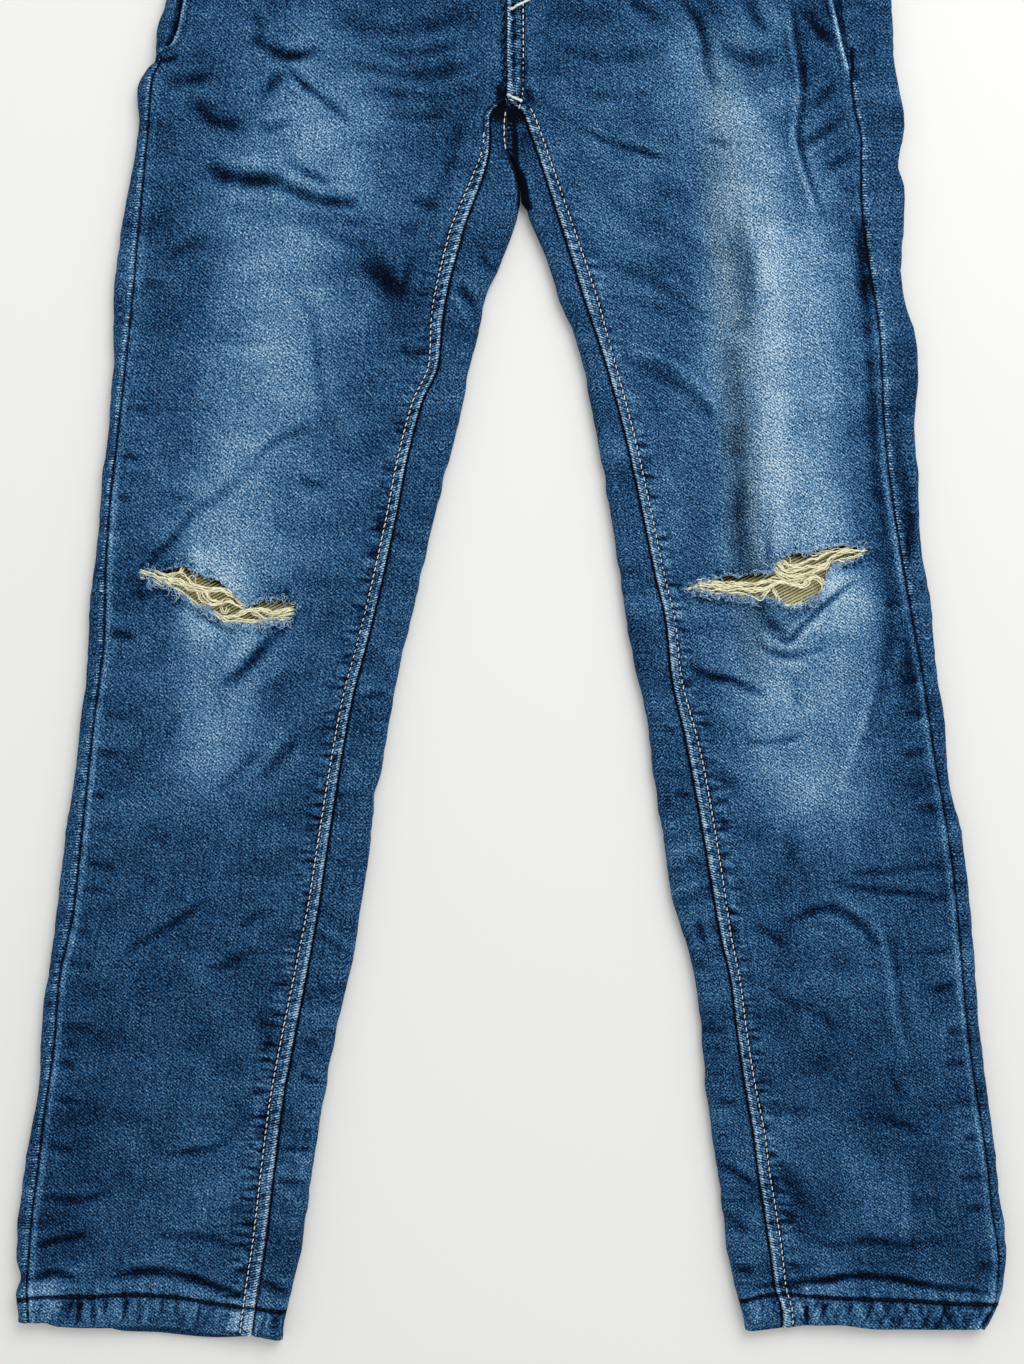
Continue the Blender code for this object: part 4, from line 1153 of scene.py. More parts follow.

# %% Marks that wear and sewing leave, with painted shade and light
def seam_marks(cloth, across, up, side, inseam, hem, sewn):
    """How much paler or darker the cloth is along the seams, by wear and by painted shade and light;
    sewn is 0 where no inseam wear shows.
    """
    along = parts(cloth)[1]
    marks = profile(inseam, INSEAM_WEAR_AND_SHADE) * sewn + profile(side, SIDE_WEAR_AND_SHADE) + profile(hem, HEM_WEAR_AND_SHADE)
    left_shin = profile(across, SHIN_ACROSS) * profile(up, SHIN_UP)
    marks += profile(side, SIDE_KEPT) * left_shin

    bright = noise(stretched(cloth, 6.0, 1.7))
    ticks = wave(along + inseam * sewn * TICK_LEAN, TICK_PITCH) * bright * 1.6 + centred(bright, 1.3)
    side_ticks = profile(side, SIDE_TICKS) * (left_shin * -0.55 + 1.0)
    marks += ticks * (profile(inseam, INSEAM_TICKS) * sewn + side_ticks)

    rungs = math_node("MINIMUM", speckle(cloth, 9.0, 2.2, 4, 3.4, 0.0) + -0.2, 0.4)
    marks += rungs * profile(inseam, RUNGS) * profile(along, RUNG_LEVELS)
    puckers = math_node("MINIMUM", speckle(cloth, 9.0, 2.6, -32, 3.0, 0.0), 0.3)
    marks += puckers * profile(inseam, EDGE_PUCKERS) * sewn
    upright = math_node("MINIMUM", speckle(cloth, 2.4, 15.0, 12, 3.0, 0.0) + 0.1, 0.35)
    marks += upright * profile(hem, HEM_PUCKERS)

    marks += profile(inseam, FLY_WEAR_AND_SHADE) * profile(up, FLY_LEVELS) * sewn
    seat = profile(across, SEAT_RIBS_ACROSS) * profile(up, SEAT_RIBS_UP)
    return marks + (wave(up, SEAT_RIB_PITCH) + -0.2) * seat

# %% Denim
TWILL_PITCH = 1.12
TWILL_LEAN = 52
TWILL_STRENGTH = 0.09


def soiling(where, across, up):
    """How grey the cloth is: a soiled band runs down the front of the wearer's left thigh."""
    band = profile(up * SOILED_SLANT + across, SOILED_WIDTH) * profile(up, SOILED_LENGTH)
    return band * noise(stretched(where, 9.0, 16.0, 0, 20.0), 2.0, 0.6) * 1.7


def denim(name, base, fleck, soiled=False):
    """Denim of a given paleness, with its flecks, its twill lines and its wear."""
    finish, tree, shader = new_finish(name, 0.92, 0.08)
    cloth, where = on_cloth(tree), on_piece(tree)
    fade, shade, sewn = parts(read_attribute(tree, "wear"))
    side, inseam, hem = parts(read_attribute(tree, "seams"))
    x, y, _ = parts(where)
    across, up = x + MIDDLE_X, y + MIDDLE_Y

    # the shade channel and the seam marks hold painted shade and light besides wear
    plain = fade + shade + base + seam_marks(cloth, across, up, side, inseam, hem, sewn)
    plain += speckle(cloth, 13.0, 17.0, strength=0.05, detail=3.0, roughness=0.55)
    plain += speckle(cloth, 1.5, 20.0, strength=0.08) + speckle(cloth, 3.0, 4.5, strength=0.035)
    uneven = noise(stretched(cloth, 5.0, 5.0), 2.0, 0.6) * 2.0
    twill = bands(cloth, TWILL_PITCH, TWILL_LEAN, 1.1) * uneven * TWILL_STRENGTH
    grain = speckle(cloth, 0.62, 0.95, 38, fleck, 1.0, 0.6) + twill
    # the flecks show more on paler cloth
    contrast = plain * 0.8 + 0.75
    paleness = plain + speckle(cloth, 2.4, 2.0, strength=0.16 * fleck) + grain * contrast

    colour = ramp(paleness, INDIGO)
    if soiled:
        inputs = {"Fac": soiling(where, across, up), "Color1": colour, "Color2": ramp(paleness, SOILED)}
        colour = add_node(tree, "ShaderNodeMixRGB", inputs, "Color")
    shader.inputs["Sheen Weight"].default_value = 0.02
    shader.inputs["Sheen Roughness"].default_value = 0.5
    dress(shader, colour, grain, 0.25)
    return finish


def wrong_side(name):
    """The ribbed, dull yellow inner face of the cloth, with painted shadow under the lip of a rip."""
    finish, tree, shader = new_finish(name, 0.95, 0.15)
    cloth = on_cloth(tree)
    tone = bands(cloth, 1.25, 118, 0.9) * 0.30 + 0.52
    tone += speckle(cloth, 0.9, 0.7, strength=0.30, detail=2.0, roughness=0.6)
    tone += speckle(cloth, 9.0, 9.0, strength=0.16, detail=2.0)
    # painted shadow where the rip's upper lip shades the inner face
    tone += read_attribute(tree, "painted_lip_shadow", "Fac") * -0.50
    yellows = [
        (0.0, dye(22, 22, 16)), (0.25, dye(92, 86, 52)), (0.55, dye(196, 190, 142)),
        (1.0, dye(248, 243, 204)),
    ]
    dress(shader, ramp(tone, yellows), tone, 0.2)
    return finish


faded_denim = denim("faded_denim", 0.242, 0.78, soiled=True)
strip_denim = denim("dark_denim", 0.235, 0.80)
rib_inside = wrong_side("rib_inside")
print("cloth finishes:", [finish.name for finish in (faded_denim, strip_denim, rib_inside)])

# %% [markdown]
# ### Threads and metal
#
# Spun thread is lighter where its fibres catch the light, so each thread's colour
# runs along a ramp by a fine mottle, stretched into streaks on the wefts. The
# button is tarnished brass, brighter where it rubs.

# %% Threads and metal
def thread_finish(name, colours, streak=(1.2, 1.2)):
    """A spun thread of even steps of colour from dark to pale, in streaks of a given size."""
    finish, tree, shader = new_finish(name, 0.8, 0.2)
    where = on_piece(tree)
    mottle = noise(stretched(where, *streak), 2.0, 0.6)
    fibres = noise(stretched(where, 0.3, 0.3, 0, 0.3), 2.0, 0.6)
    tone = centred(mottle, 0.9) + centred(fibres, 0.5) + 0.5
    steps = np.linspace(0.0, 1.0, len(colours))
    stops = [(float(step), shade) for step, shade in zip(steps, colours)]
    dress(shader, ramp(tone, stops), fibres, 0.08)
    return finish


# the weft's darker steps are painted shade between the strands of a bundle
PALE_WEFT = [dye(164, 152, 100), dye(244, 236, 192), dye(255, 254, 228), dye(255, 255, 240)]
ecru_thread = thread_finish("ecru_thread", [dye(220, 220, 214), dye(255, 255, 252)])
navy_thread = thread_finish("navy_thread", [dye(8, 12, 26), dye(34, 42, 66)])
weft_thread = thread_finish("weft_thread", PALE_WEFT, (3.4, 0.55))
fray_thread = thread_finish("fray_thread", [dye(40, 78, 122), dye(132, 168, 200), dye(212, 230, 240)])


threads = (ecru_thread, navy_thread, weft_thread, fray_thread)
print("thread finishes:", [finish.name for finish in threads])


def button_finish():
    """Worn antique metal, brighter where it rubs."""
    finish, tree, shader = new_finish("button_metal_worn", 0.42, 0.5)
    tarnish = noise(stretched(on_piece(tree), 1.6, 1.6, 0, 1.6), 4.0, 0.6)
    shader.inputs["Metallic"].default_value = 1.0
    feed(tree, shader.inputs["Roughness"], tarnish * 0.4 + 0.2)
    brass = ramp(tarnish, [(0.3, dye(88, 78, 62)), (0.7, dye(196, 184, 160))])
    dress(shader, brass, tarnish, 0.05)
    return finish

# %% [markdown]
# ## Front panels with their knee rips
#
# A front panel runs from the side seam, and higher up from the slanting pocket
# mouth, to the inseam and the fly edge. The rip is cut by moving the nearest
# points of each column on to the two lips, and then deleting the faces between.

# %% Lips of the rips, (x, y)
Rip = namedtuple("Rip", "upper lower seed")
RIGHT_RIP = Rip(
    [(-162, -195), (-158, -193.8), (-151, -194.5), (-146, -193), (-143, -192.6), (-140, -194),
     (-136, -195.7), (-131, -197.4), (-126, -199.7), (-123, -202), (-120, -204.6), (-116.5, -209),
     (-114.8, -209.8), (-111.5, -207.6), (-106, -206.8), (-101, -206.8), (-95, -207), (-93, -210)],
    [(-162, -195.2), (-161, -197.2), (-156, -199), (-151, -201), (-146, -203.6), (-142, -206),
     (-138, -208.8), (-134, -211), (-130, -212.5), (-127.7, -215.4), (-123.7, -217.4),
     (-119, -217), (-113, -218), (-106, -217), (-97, -216), (-95, -213.5), (-93, -210.2)],
    61,
)
LEFT_RIP = Rip(
    [(74, -202.4), (78, -200.2), (83.5, -198), (91, -196.6), (97, -197), (105, -195.3),
     (109.5, -196), (111.5, -193), (113.3, -190.3), (116.6, -188.4), (120.5, -187), (126, -187),
     (131.5, -185.3), (139.6, -183.7), (148, -184.5), (151, -184.5), (152.5, -185.6)],
    [(74, -202.6), (77.5, -204), (84.7, -204.7), (90, -205.2), (95.7, -207), (104, -207.3),
     (109.4, -206.3), (113.8, -207.8), (116.6, -210), (120.4, -210.3), (126, -208.4),
     (130.3, -205.6), (133, -201.8), (134, -197), (137, -192), (142.4, -190.8), (148, -189.2),
     (151, -187), (152.5, -185.8)],
    62,
)


def lip_lines(rip, x):
    """Levels of the upper and lower lip at the given places, frayed a little."""
    places, levels = np.array(rip.upper, float).T
    upper = np.interp(x, places, levels) + 0.45 * wobble(x, 1.1, rip.seed)
    places, levels = np.array(rip.lower, float).T
    lower = np.interp(x, places, levels) + 0.45 * wobble(x, 1.1, rip.seed + 1)
    inside = (x > rip.upper[0][0]) & (x < rip.upper[-1][0]) & (upper > lower)
    return upper, lower, inside


def lip_distance(rip, x, y):
    """Distance above the upper or below the lower lip, large away from the rip."""
    upper, lower, _ = lip_lines(rip, x)
    ends = np.maximum(rip.upper[0][0] - x, x - rip.upper[-1][0])
    away = np.maximum(np.maximum(y - upper, lower - y), 0.0)
    return np.hypot(away, np.maximum(ends, 0.0)), y > (upper + lower) / 2


def widest_gap(rip):
    """How far the rip opens, in mm."""
    upper, lower, inside = lip_lines(rip, np.linspace(rip.upper[0][0], rip.upper[-1][0], 200))
    return round(float((upper - lower)[inside].max()), 1)


print("widest gap of each rip, mm:", widest_gap(RIGHT_RIP), widest_gap(LEFT_RIP))

# %% Front panels
FRONT_COLUMNS = seam_shares(9, 0.075, 74)
POCKET_RISE = 0.35
HEM_SHARE = 0.8        # width at the hem for the flat area, as a share of the widest row


def front_edge(leg, y):
    """The outer edge of a front panel: the side seam, then the pocket mouth."""
    start = leg.mouth[0][0]
    return np.where(y > start, read_line(leg.mouth, y), read_line(leg.side, y))


def sewn_share(leg, y):
    """How much of the inseam's wear shows: the fly covers the right front's edge."""
    return 1.0 - ease(6.0, 12.0, y) if leg is RIGHT_LEG else np.ones_like(y)


def front_layout(leg, rip):
    """Everything the grid of a front panel needs at its points."""
    share = FRONT_COLUMNS[None, :]
    level = rows[:, None]
    x = read_line(leg.side, level) * (1 - share) + read_line(leg.inseam, level) * share
    for _ in range(2):
        y = level + sag(leg, x, level)
        start = front_edge(leg, y) + leg.across * SEAM_SHUT / 2
        end = read_line(leg.inseam, y) - leg.across * SEAM_SHUT / 2
        x = start + (end - start) * share
    # bring the nearest points on to the lips of the rip
    upper, lower, inside = lip_lines(rip, x)
    gaps = np.abs(np.gradient(y, axis=0))
    y = np.where(inside & (y >= upper - gaps / 2) & (y < upper + gaps / 2), upper, y)
    y = np.where(inside & (y <= lower + gaps / 2) & (y > lower - gaps / 2), lower, y)

    top = upper_layer(leg, x, y)
    away, above = lip_distance(rip, x, y)
    curl = bell(away, 2.2) * (0.6 + 0.5 * lumps(x, y, 2.2, 2.2, rip.seed + 2))
    sink = bell(away - 3.5, 2.0) * 0.35
    z = top.height + curl - sink
    loop_shadow = np.maximum(lumps(x, y, 1.7, 1.7, rip.seed + 4) + 0.35, 0.0)
    inward = np.minimum(x - rip.upper[0][0], rip.upper[-1][0] - x)
    loop_shadow = loop_shadow * (0.1 + 0.9 * ease(-1.0, 6.0, inward))
    # a pale frayed edge on each lip, then painted shadow under the tangled loops beside it and painted
    # shade below the lower lip
    shade = top.shade + 0.16 * bell(away, 0.8) - 0.34 * loop_shadow * bell(away - 1.9, 1.3)
    shade = shade - 0.08 * bell(away - 3.5, 2.2) * ~above
    edge = leg.across * (x - front_edge(leg, y))
    mouth = ease(leg.mouth[0][0], leg.mouth[0][0] + 6.0, y)
    z = z + mouth * (POCKET_RISE * bell(edge - 1.5, 1.5) - 0.5 * (1 - ease(0.0, 1.0, edge)))
    # the corner at the foot of the pocket laps over the back panel's strip
    z = z + 1.5 * ease(0.0, 0.8, leg.across * (read_line(leg.side, y) - x))
    worn = (0.36, 0.8) if leg is RIGHT_LEG else (0.46, 1.0)
    shade = shade + mouth * (worn[0] * bell(edge - worn[1], worn[1]) - 0.12 * bell(edge - 3.0, 0.8))
    worn_side = np.where(y > leg.mouth[0][0] + 3.0, NO_SEAM[0], edge)
    middle = (read_line(leg.side, level) + read_line(leg.inseam, level)) / 2
    return Laid(
        x, y, z, x - middle, y, faded(x, y), shade, worn_side, seam_distance(leg, x, y),
        y - read_line(leg.stitch, x), sewn_share(leg, y),
    )

# %% Cutting the rip, and measuring the cut of the cloth
def cut_rip(mesh, rip):
    """Delete the faces between the lips of the rip."""
    bm = bmesh.new()
    bm.from_mesh(mesh)
    centres = np.array([face.calc_center_median() for face in bm.faces])
    x, y = centres[:, 0] / MM + MIDDLE_X, centres[:, 1] / MM + MIDDLE_Y
    upper, lower, inside = lip_lines(rip, x)
    open_faces = inside & (y < upper) & (y > lower)
    bm.faces.ensure_lookup_table()
    bmesh.ops.delete(bm, geom=[bm.faces[i] for i in np.flatnonzero(open_faces)], context="FACES")
    bm.to_mesh(mesh)
    bm.free()
    return int(open_faces.sum())


def sheet_size(laid):
    """Width, length and area in metres of the outside of a grid."""
    points = place(laid.x, laid.y, laid.z)
    across = np.linalg.norm(np.diff(points, axis=1), axis=2)
    along = np.linalg.norm(np.diff(points, axis=0), axis=2)
    cells = (across[1:] + across[:-1]) / 2 * (along[:, 1:] + along[:, :-1]) / 2
    return float(across.sum(axis=1).max()), float(along.mean(axis=1).sum()), float(cells.sum())


def blue_hem(mesh, laid):
    """The turned-up hem shows the blue side of the cloth on the inside too."""
    inside_hem = laid.hem.reshape(-1) < 0.0
    first = [face.vertices[0] for face in mesh.polygons]
    mesh.polygons.foreach_set("material_index", 2 * inside_hem[first])


def panel_piece(name, mesh, laid, finish, vertex):
    """A panel of a leg, faced outwards, with its finishes and its doubled hem."""
    face_outwards(mesh, vertex)
    blue_hem(mesh, laid)
    piece = add_piece(name, mesh, finish, rib_inside, finish, finish)
    add_wall(piece, CLOTH, laid.hem < 0.0)
    return piece

# %% Both front panels
def front_panel(name, leg, rip, finish):
    """Make a front panel, and give its cut's width, length and area."""
    laid = front_layout(leg, rip)
    mesh = grid_mesh(name, laid)
    piece = panel_piece(name, mesh, laid, finish, len(FRONT_COLUMNS) // 2)
    cut = cut_rip(mesh, rip)
    width, length, area = sheet_size(laid)
    print(name, "grid:", laid.x.shape, "rip faces:", cut, "flat m:", round(width, 3), round(length, 3))
    turned_up = HEM_DEPTH * MM
    return piece, (width, length + turned_up, area + HEM_SHARE * width * turned_up)


front_right, front_right_cut = front_panel("jeans_front_right", RIGHT_LEG, RIGHT_RIP, faded_denim)
front_left, front_left_cut = front_panel("jeans_front_left", LEFT_LEG, LEFT_RIP, faded_denim)
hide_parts("front_right")
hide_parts("front_left")

# %% [markdown]
# ## Back panels
#
# A back panel is one sheet: from the side seam round the outer fold, along the
# underside, round the inner fold and up to the inseam. Above the crotch there
# is no inner fold, so those faces are deleted, and only a short tongue of the
# panel shows on top, between the fronts.

# %% Shares of the back panel's profile
STRIP_SHARES = np.linspace(0, 1, 9) ** 1.4
ARC_SHARES = np.linspace(0, 1, 9)[1:]
BASE_SHARES = np.linspace(0, 1, 47)[1:]
INNER_SHARES = np.concatenate([np.linspace(0, 0.8, 11)[1:], np.linspace(0.8, 1, 7)[1:]])
ARC_START = len(STRIP_SHARES)
BASE_START = ARC_START + len(ARC_SHARES)
INNER_ARC_START = BASE_START + len(BASE_SHARES)
INNER_START = INNER_ARC_START + len(ARC_SHARES)
HALF_TURN = len(ARC_SHARES) // 2
FAR_BEHIND = -8.0      # seam distance where no seam wear shows
STRIP_FADE = 0.35      # the back panels are less faded than the fronts
GRAIN_LEAN = 0.15      # of the strips' grain, which follows the tapering leg
BACK_AREA_SHARE = 0.8  # the declared share of the cells' area; 0.97 would be nearer the truth

# %% Underside and grain of a back panel
def base_lift(x, y, outer, inner):
    """Soft low folds on the underside, which mostly lies flat on the table."""
    soft = np.maximum(lumps(x + 0.4 * y, y, 30, 16, 71) - 0.35, 0.0) * 1.3
    clear = ease(6.0, 20.0, outer) * ease(6.0, 20.0, inner)
    return soft * clear


def cloth_width(leg, x, y, u):
    """Cloth coordinate across a back panel, true to the strips that show."""
    from_side = leg.across * x + GRAIN_LEAN * y
    from_inseam = leg.across * x - GRAIN_LEAN * y
    outer = from_side[:, ARC_START - 1:ARC_START] + u - u[:, ARC_START - 1:ARC_START]
    inner = from_inseam[:, INNER_START:INNER_START + 1] + u - u[:, INNER_START:INNER_START + 1]
    inner = inner + np.mean((outer - inner)[:, BASE_START:INNER_ARC_START])
    share = np.zeros(x.shape[1])
    share[BASE_START:INNER_ARC_START] = BASE_SHARES
    share[INNER_ARC_START:] = 1.0
    flat = outer * (1 - share) + inner * share
    flat[:, :ARC_START] = from_side[:, :ARC_START]
    shift = (flat - from_inseam)[:, INNER_START:INNER_START + 1]
    flat[:, INNER_START:] = from_inseam[:, INNER_START:] + shift
    return flat

# %% Layout of a back panel
def back_layout(leg):
    """Everything the grid of a back panel needs at its points."""
    level = rows[:, None]
    slit = 1.0 - ease(CROTCH_SLIT - 1.0, CROTCH_SLIT + 1.0, level)
    ragged = 0.35 * wobble(level, 9.5, 81) + 0.18 * wobble(level, 3.1, 82)
    ragged_in = 0.35 * wobble(level, 8.5, 83) + 0.18 * wobble(level, 2.9, 84)

    def lines_at(y):
        """Outer fold, side seam, inseam and inner fold, turned so that they grow inwards."""
        outer = leg.across * read_line(leg.outer, y) + ragged
        side = leg.across * read_line(leg.side, y) - SEAM_SHUT / 2
        inseam = leg.across * read_line(leg.inseam, y) + SEAM_SHUT / 2
        inner = leg.across * read_line(leg.inner, y) - ragged_in * slit - (1 - slit) * SEAM_GAP / 2
        return outer, side, inseam, inner

    def spread(start, end, shares):
        """Columns between two lines, by their shares."""
        return start + (end - start) * shares[None, :]

    outer, side, inseam, inner = lines_at(level)
    turn = np.minimum(FOLD_RADIUS, side - outer - 0.5)
    strip = spread(side, outer + turn, STRIP_SHARES)
    arc = outer + turn * (1 - np.sin(np.pi * ARC_SHARES[None, :]))
    base = spread(outer + turn, inner - FOLD_RADIUS * slit, BASE_SHARES)
    inner_arc = inner - FOLD_RADIUS * slit * (1 - np.sin(np.pi * ARC_SHARES[None, :]))
    inner_strip = spread(inner - FOLD_RADIUS * slit, inseam, INNER_SHARES)
    x = leg.across * np.concatenate([strip, arc, base, inner_arc, inner_strip], axis=1)
    under = np.zeros(x.shape, bool)
    under[:, ARC_START + HALF_TURN:INNER_ARC_START + HALF_TURN] = True
    peek = np.where(under, read_line(leg.peek, x), 0.0)
    y = level + sag(leg, x, np.broadcast_to(level, x.shape), peek)

    top = upper_layer(leg, x, y)
    z = top.height.copy()
    shade = top.shade.copy()
    # outer fold: from the strip's own height down to the table
    fold_top = top.height[:, ARC_START - 1:ARC_START]
    z[:, ARC_START:BASE_START] = fold_top * (1 + np.cos(np.pi * ARC_SHARES)) / 2
    inner_top = top.height[:, INNER_START:INNER_START + 1]
    z[:, INNER_ARC_START:INNER_START] = inner_top * (1 - np.cos(np.pi * ARC_SHARES)) / 2
    span = slice(BASE_START, INNER_ARC_START)
    from_outer = leg.across * x[:, span] - outer
    from_inner = inner - leg.across * x[:, span]
    hem = y - read_line(leg.stitch, x)
    z[:, span] = base_lift(x[:, span], y[:, span], from_outer, from_inner)
    clear = ease(3.0, 6.0, from_outer) * ease(3.0, 6.0, from_inner)
    z[:, span] += 0.75 * bell(hem[:, span], 0.9) * clear
    shade[:, span] = 0.05 * lumps(x[:, span], y[:, span], 9, 9, 72)

    points = place(x, y, z)
    steps = np.linalg.norm(np.diff(points, axis=1), axis=2)
    u = np.concatenate([np.zeros((len(rows), 1)), np.cumsum(steps, axis=1)], axis=1) / MM
    u = leg.across * cloth_width(leg, x, y, u)
    side_away = leg.across * (x - read_line(leg.side, y))
    inseam_away = seam_distance(leg, x, y)
    side_away[:, ARC_START:] = FAR_BEHIND
    side_away = np.where(y > leg.mouth[0][0] + 3.0, FAR_BEHIND, side_away)
    inseam_away[:, :INNER_START] = FAR_BEHIND
    # the pit below the fly, and the slit where the two inner folds touch, painted dark as their shadow
    tucked = np.arange(x.shape[1]) >= INNER_ARC_START
    shade = shade - 0.55 * tucked * bell(y - 2.2, 3.0) * bell(x + 2.3, 11.0)
    slit_reach = 0.7 if leg is RIGHT_LEG else 1.2 + 1.8 * (1 - ease(-36.0, -16.0, y))
    slit_depth = ease(-40.0, -37.5, y) * (1 - ease(-20.0, -12.0, y))
    from_slit = leg.across * (read_line(leg.inner, y) - x)
    slit_shade = slit_depth * (1 - ease(slit_reach - 0.7, slit_reach + 0.7, from_slit))
    shade = shade - 0.6 * tucked * slit_shade
    sewn = sewn_share(leg, y)
    return Laid(x, y, z, u, y, STRIP_FADE * faded(x, y), shade, side_away, inseam_away, hem, sewn)

# %% Both back panels
def painted_lip_shadow(mesh, rip, laid):
    """Mark, as painted shadow, the inside of the back panel that lies in the shade of the rip's upper
    lip.
    """
    upper, _, open_here = lip_lines(rip, laid.x)
    below = upper - laid.y
    dark = open_here * (bell(np.minimum(below - 0.3, 0.0), 1.5) - ease(0.3, 2.9, below))
    ends = np.minimum(laid.x - rip.upper[0][0], rip.upper[-1][0] - laid.x)
    dark = np.maximum(dark, open_here * (1 - ease(0.0, 5.0, ends)) * 0.8)
    layer = mesh.attributes.new("painted_lip_shadow", "FLOAT", "POINT")
    layer.data.foreach_set("value", np.maximum(dark, 0.0).reshape(-1))


def back_panel(name, leg, rip, finish):
    """Make a back panel, and give its cut's width, length and area."""
    laid = back_layout(leg)
    mesh = grid_mesh(name, laid)
    painted_lip_shadow(mesh, rip, laid)
    columns = laid.x.shape[1]
    piece = panel_piece(name, mesh, laid, finish, len(rows) // 2 * columns + 3)
    slit = (CROTCH_SLIT - MIDDLE_Y) * MM
    tongue = (TONGUE_TOP - MIDDLE_Y) * MM
    bm = bmesh.new()
    bm.from_mesh(mesh)
    cut_away = []
    for face in bm.faces:
        first = min(vertex.index % columns for vertex in face.verts)
        foot = min(vertex.co.y for vertex in face.verts)
        if INNER_ARC_START - 1 <= first < INNER_START - 1 and foot > slit:
            cut_away.append(face)
        elif first >= INNER_START - 1 and foot > tongue:
            cut_away.append(face)
    bmesh.ops.delete(bm, geom=cut_away, context="FACES")
    bm.to_mesh(mesh)
    bm.free()
    width, length, area = sheet_size(laid)
    print(name, "grid:", laid.x.shape, "flat m:", round(width, 3), round(length, 3))
    return piece, (width, length + HEM_DEPTH * MM, BACK_AREA_SHARE * area)


back_right, back_right_cut = back_panel("jeans_back_right", RIGHT_LEG, RIGHT_RIP, strip_denim)
back_left, back_left_cut = back_panel("jeans_back_left", LEFT_LEG, LEFT_RIP, strip_denim)
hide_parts("back_right")
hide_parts("back_left")

# %% [markdown]
# ## Pocket facings
#
# In the mouth of a slanted pocket shows the facing, a piece of the same denim
# sewn to the pocket bag. It lies just below the front panel and reaches under
# it, and under the back panel at the side seam.

# %% Pocket facings
FACING_FOOT = 14.0
FACING_TUCK = 9.0
FACING_LAP = 1.2
FACING_DROP = 0.5
FACING_COLUMNS = np.linspace(0, 1, 22)
FACING_ROWS = 110


def pocket_facing(name, leg, finish):
    """Make a pocket facing, and give its cut's width, length and area."""
    level = np.linspace(FACING_FOOT, WAIST_SEAM - SEAM_GAP, FACING_ROWS)[:, None]
    tuck = front_edge(leg, level) + leg.across * FACING_TUCK
    seam = read_line(leg.side, level) - leg.across * FACING_LAP
    x = tuck + (seam - tuck) * FACING_COLUMNS[None, :]
    y = np.broadcast_to(level, x.shape)
    top = upper_layer(leg, x, y)
    z = top.height - CLOTH - FACING_DROP
    # painted shadow on the facing beside the front panel's edge, deeper in the right pocket's mouth
    mouth_shadow = 0.38 if leg is RIGHT_LEG else 0.16
    shade = top.shade - 0.02 - mouth_shadow * bell(leg.across * (front_edge(leg, y) - x), 2.2)
    laid = Laid(x, y, z, x, y, 0.0, shade, *NO_SEAM)
    mesh = grid_mesh(name, laid)
    face_outwards(mesh, len(FACING_COLUMNS) * 20 + 5)
    piece = add_piece(name, mesh, finish, rib_inside)
    add_wall(piece, CLOTH)
    return piece, sheet_size(laid)


facing_right, facing_right_cut = pocket_facing("jeans_facing_right", RIGHT_LEG, strip_denim)
facing_left, facing_left_cut = pocket_facing("jeans_facing_left", LEFT_LEG, strip_denim)
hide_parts("pocket_facing_right")
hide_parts("pocket_facing_left")
print("pocket facings, flat m:", [round(size, 3) for size in facing_right_cut])

# %% [markdown]
# ## Waistband and button
#
# The waistband is one doubled strip that runs round the waist, its two ends
# lapped at the front, the button on the upper lap. Its lower edge meets the
# panels at the waist seam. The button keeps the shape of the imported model.

# %% Waistband
BAND_WALL = 2.4
BAND_RADIUS = 3.6
BAND_TAPER = 3.0
LAP_END = -22.0
LAP_UNDER = 0.0
LAP_RAMP = (3.0, 15.0)
BAND_COLUMN = 2.8
LAP_FRONT = 60.0       # the lapped part of the front ends here
STITCH_INSET = 2.6     # of the waistband's topstitching from its edges


def band_column(start, end):
    """Even columns between two places along the band, without the first."""
    count = max(2, round(abs(end - start) / BAND_COLUMN))
    return start + (end - start) * np.arange(1, count + 1) / count


def lap_lift(x):
    """How much higher the upper lap lies than the rest of the band."""
    return (BAND_WALL + SEAM_GAP) * (1.0 - ease(*LAP_RAMP, x))


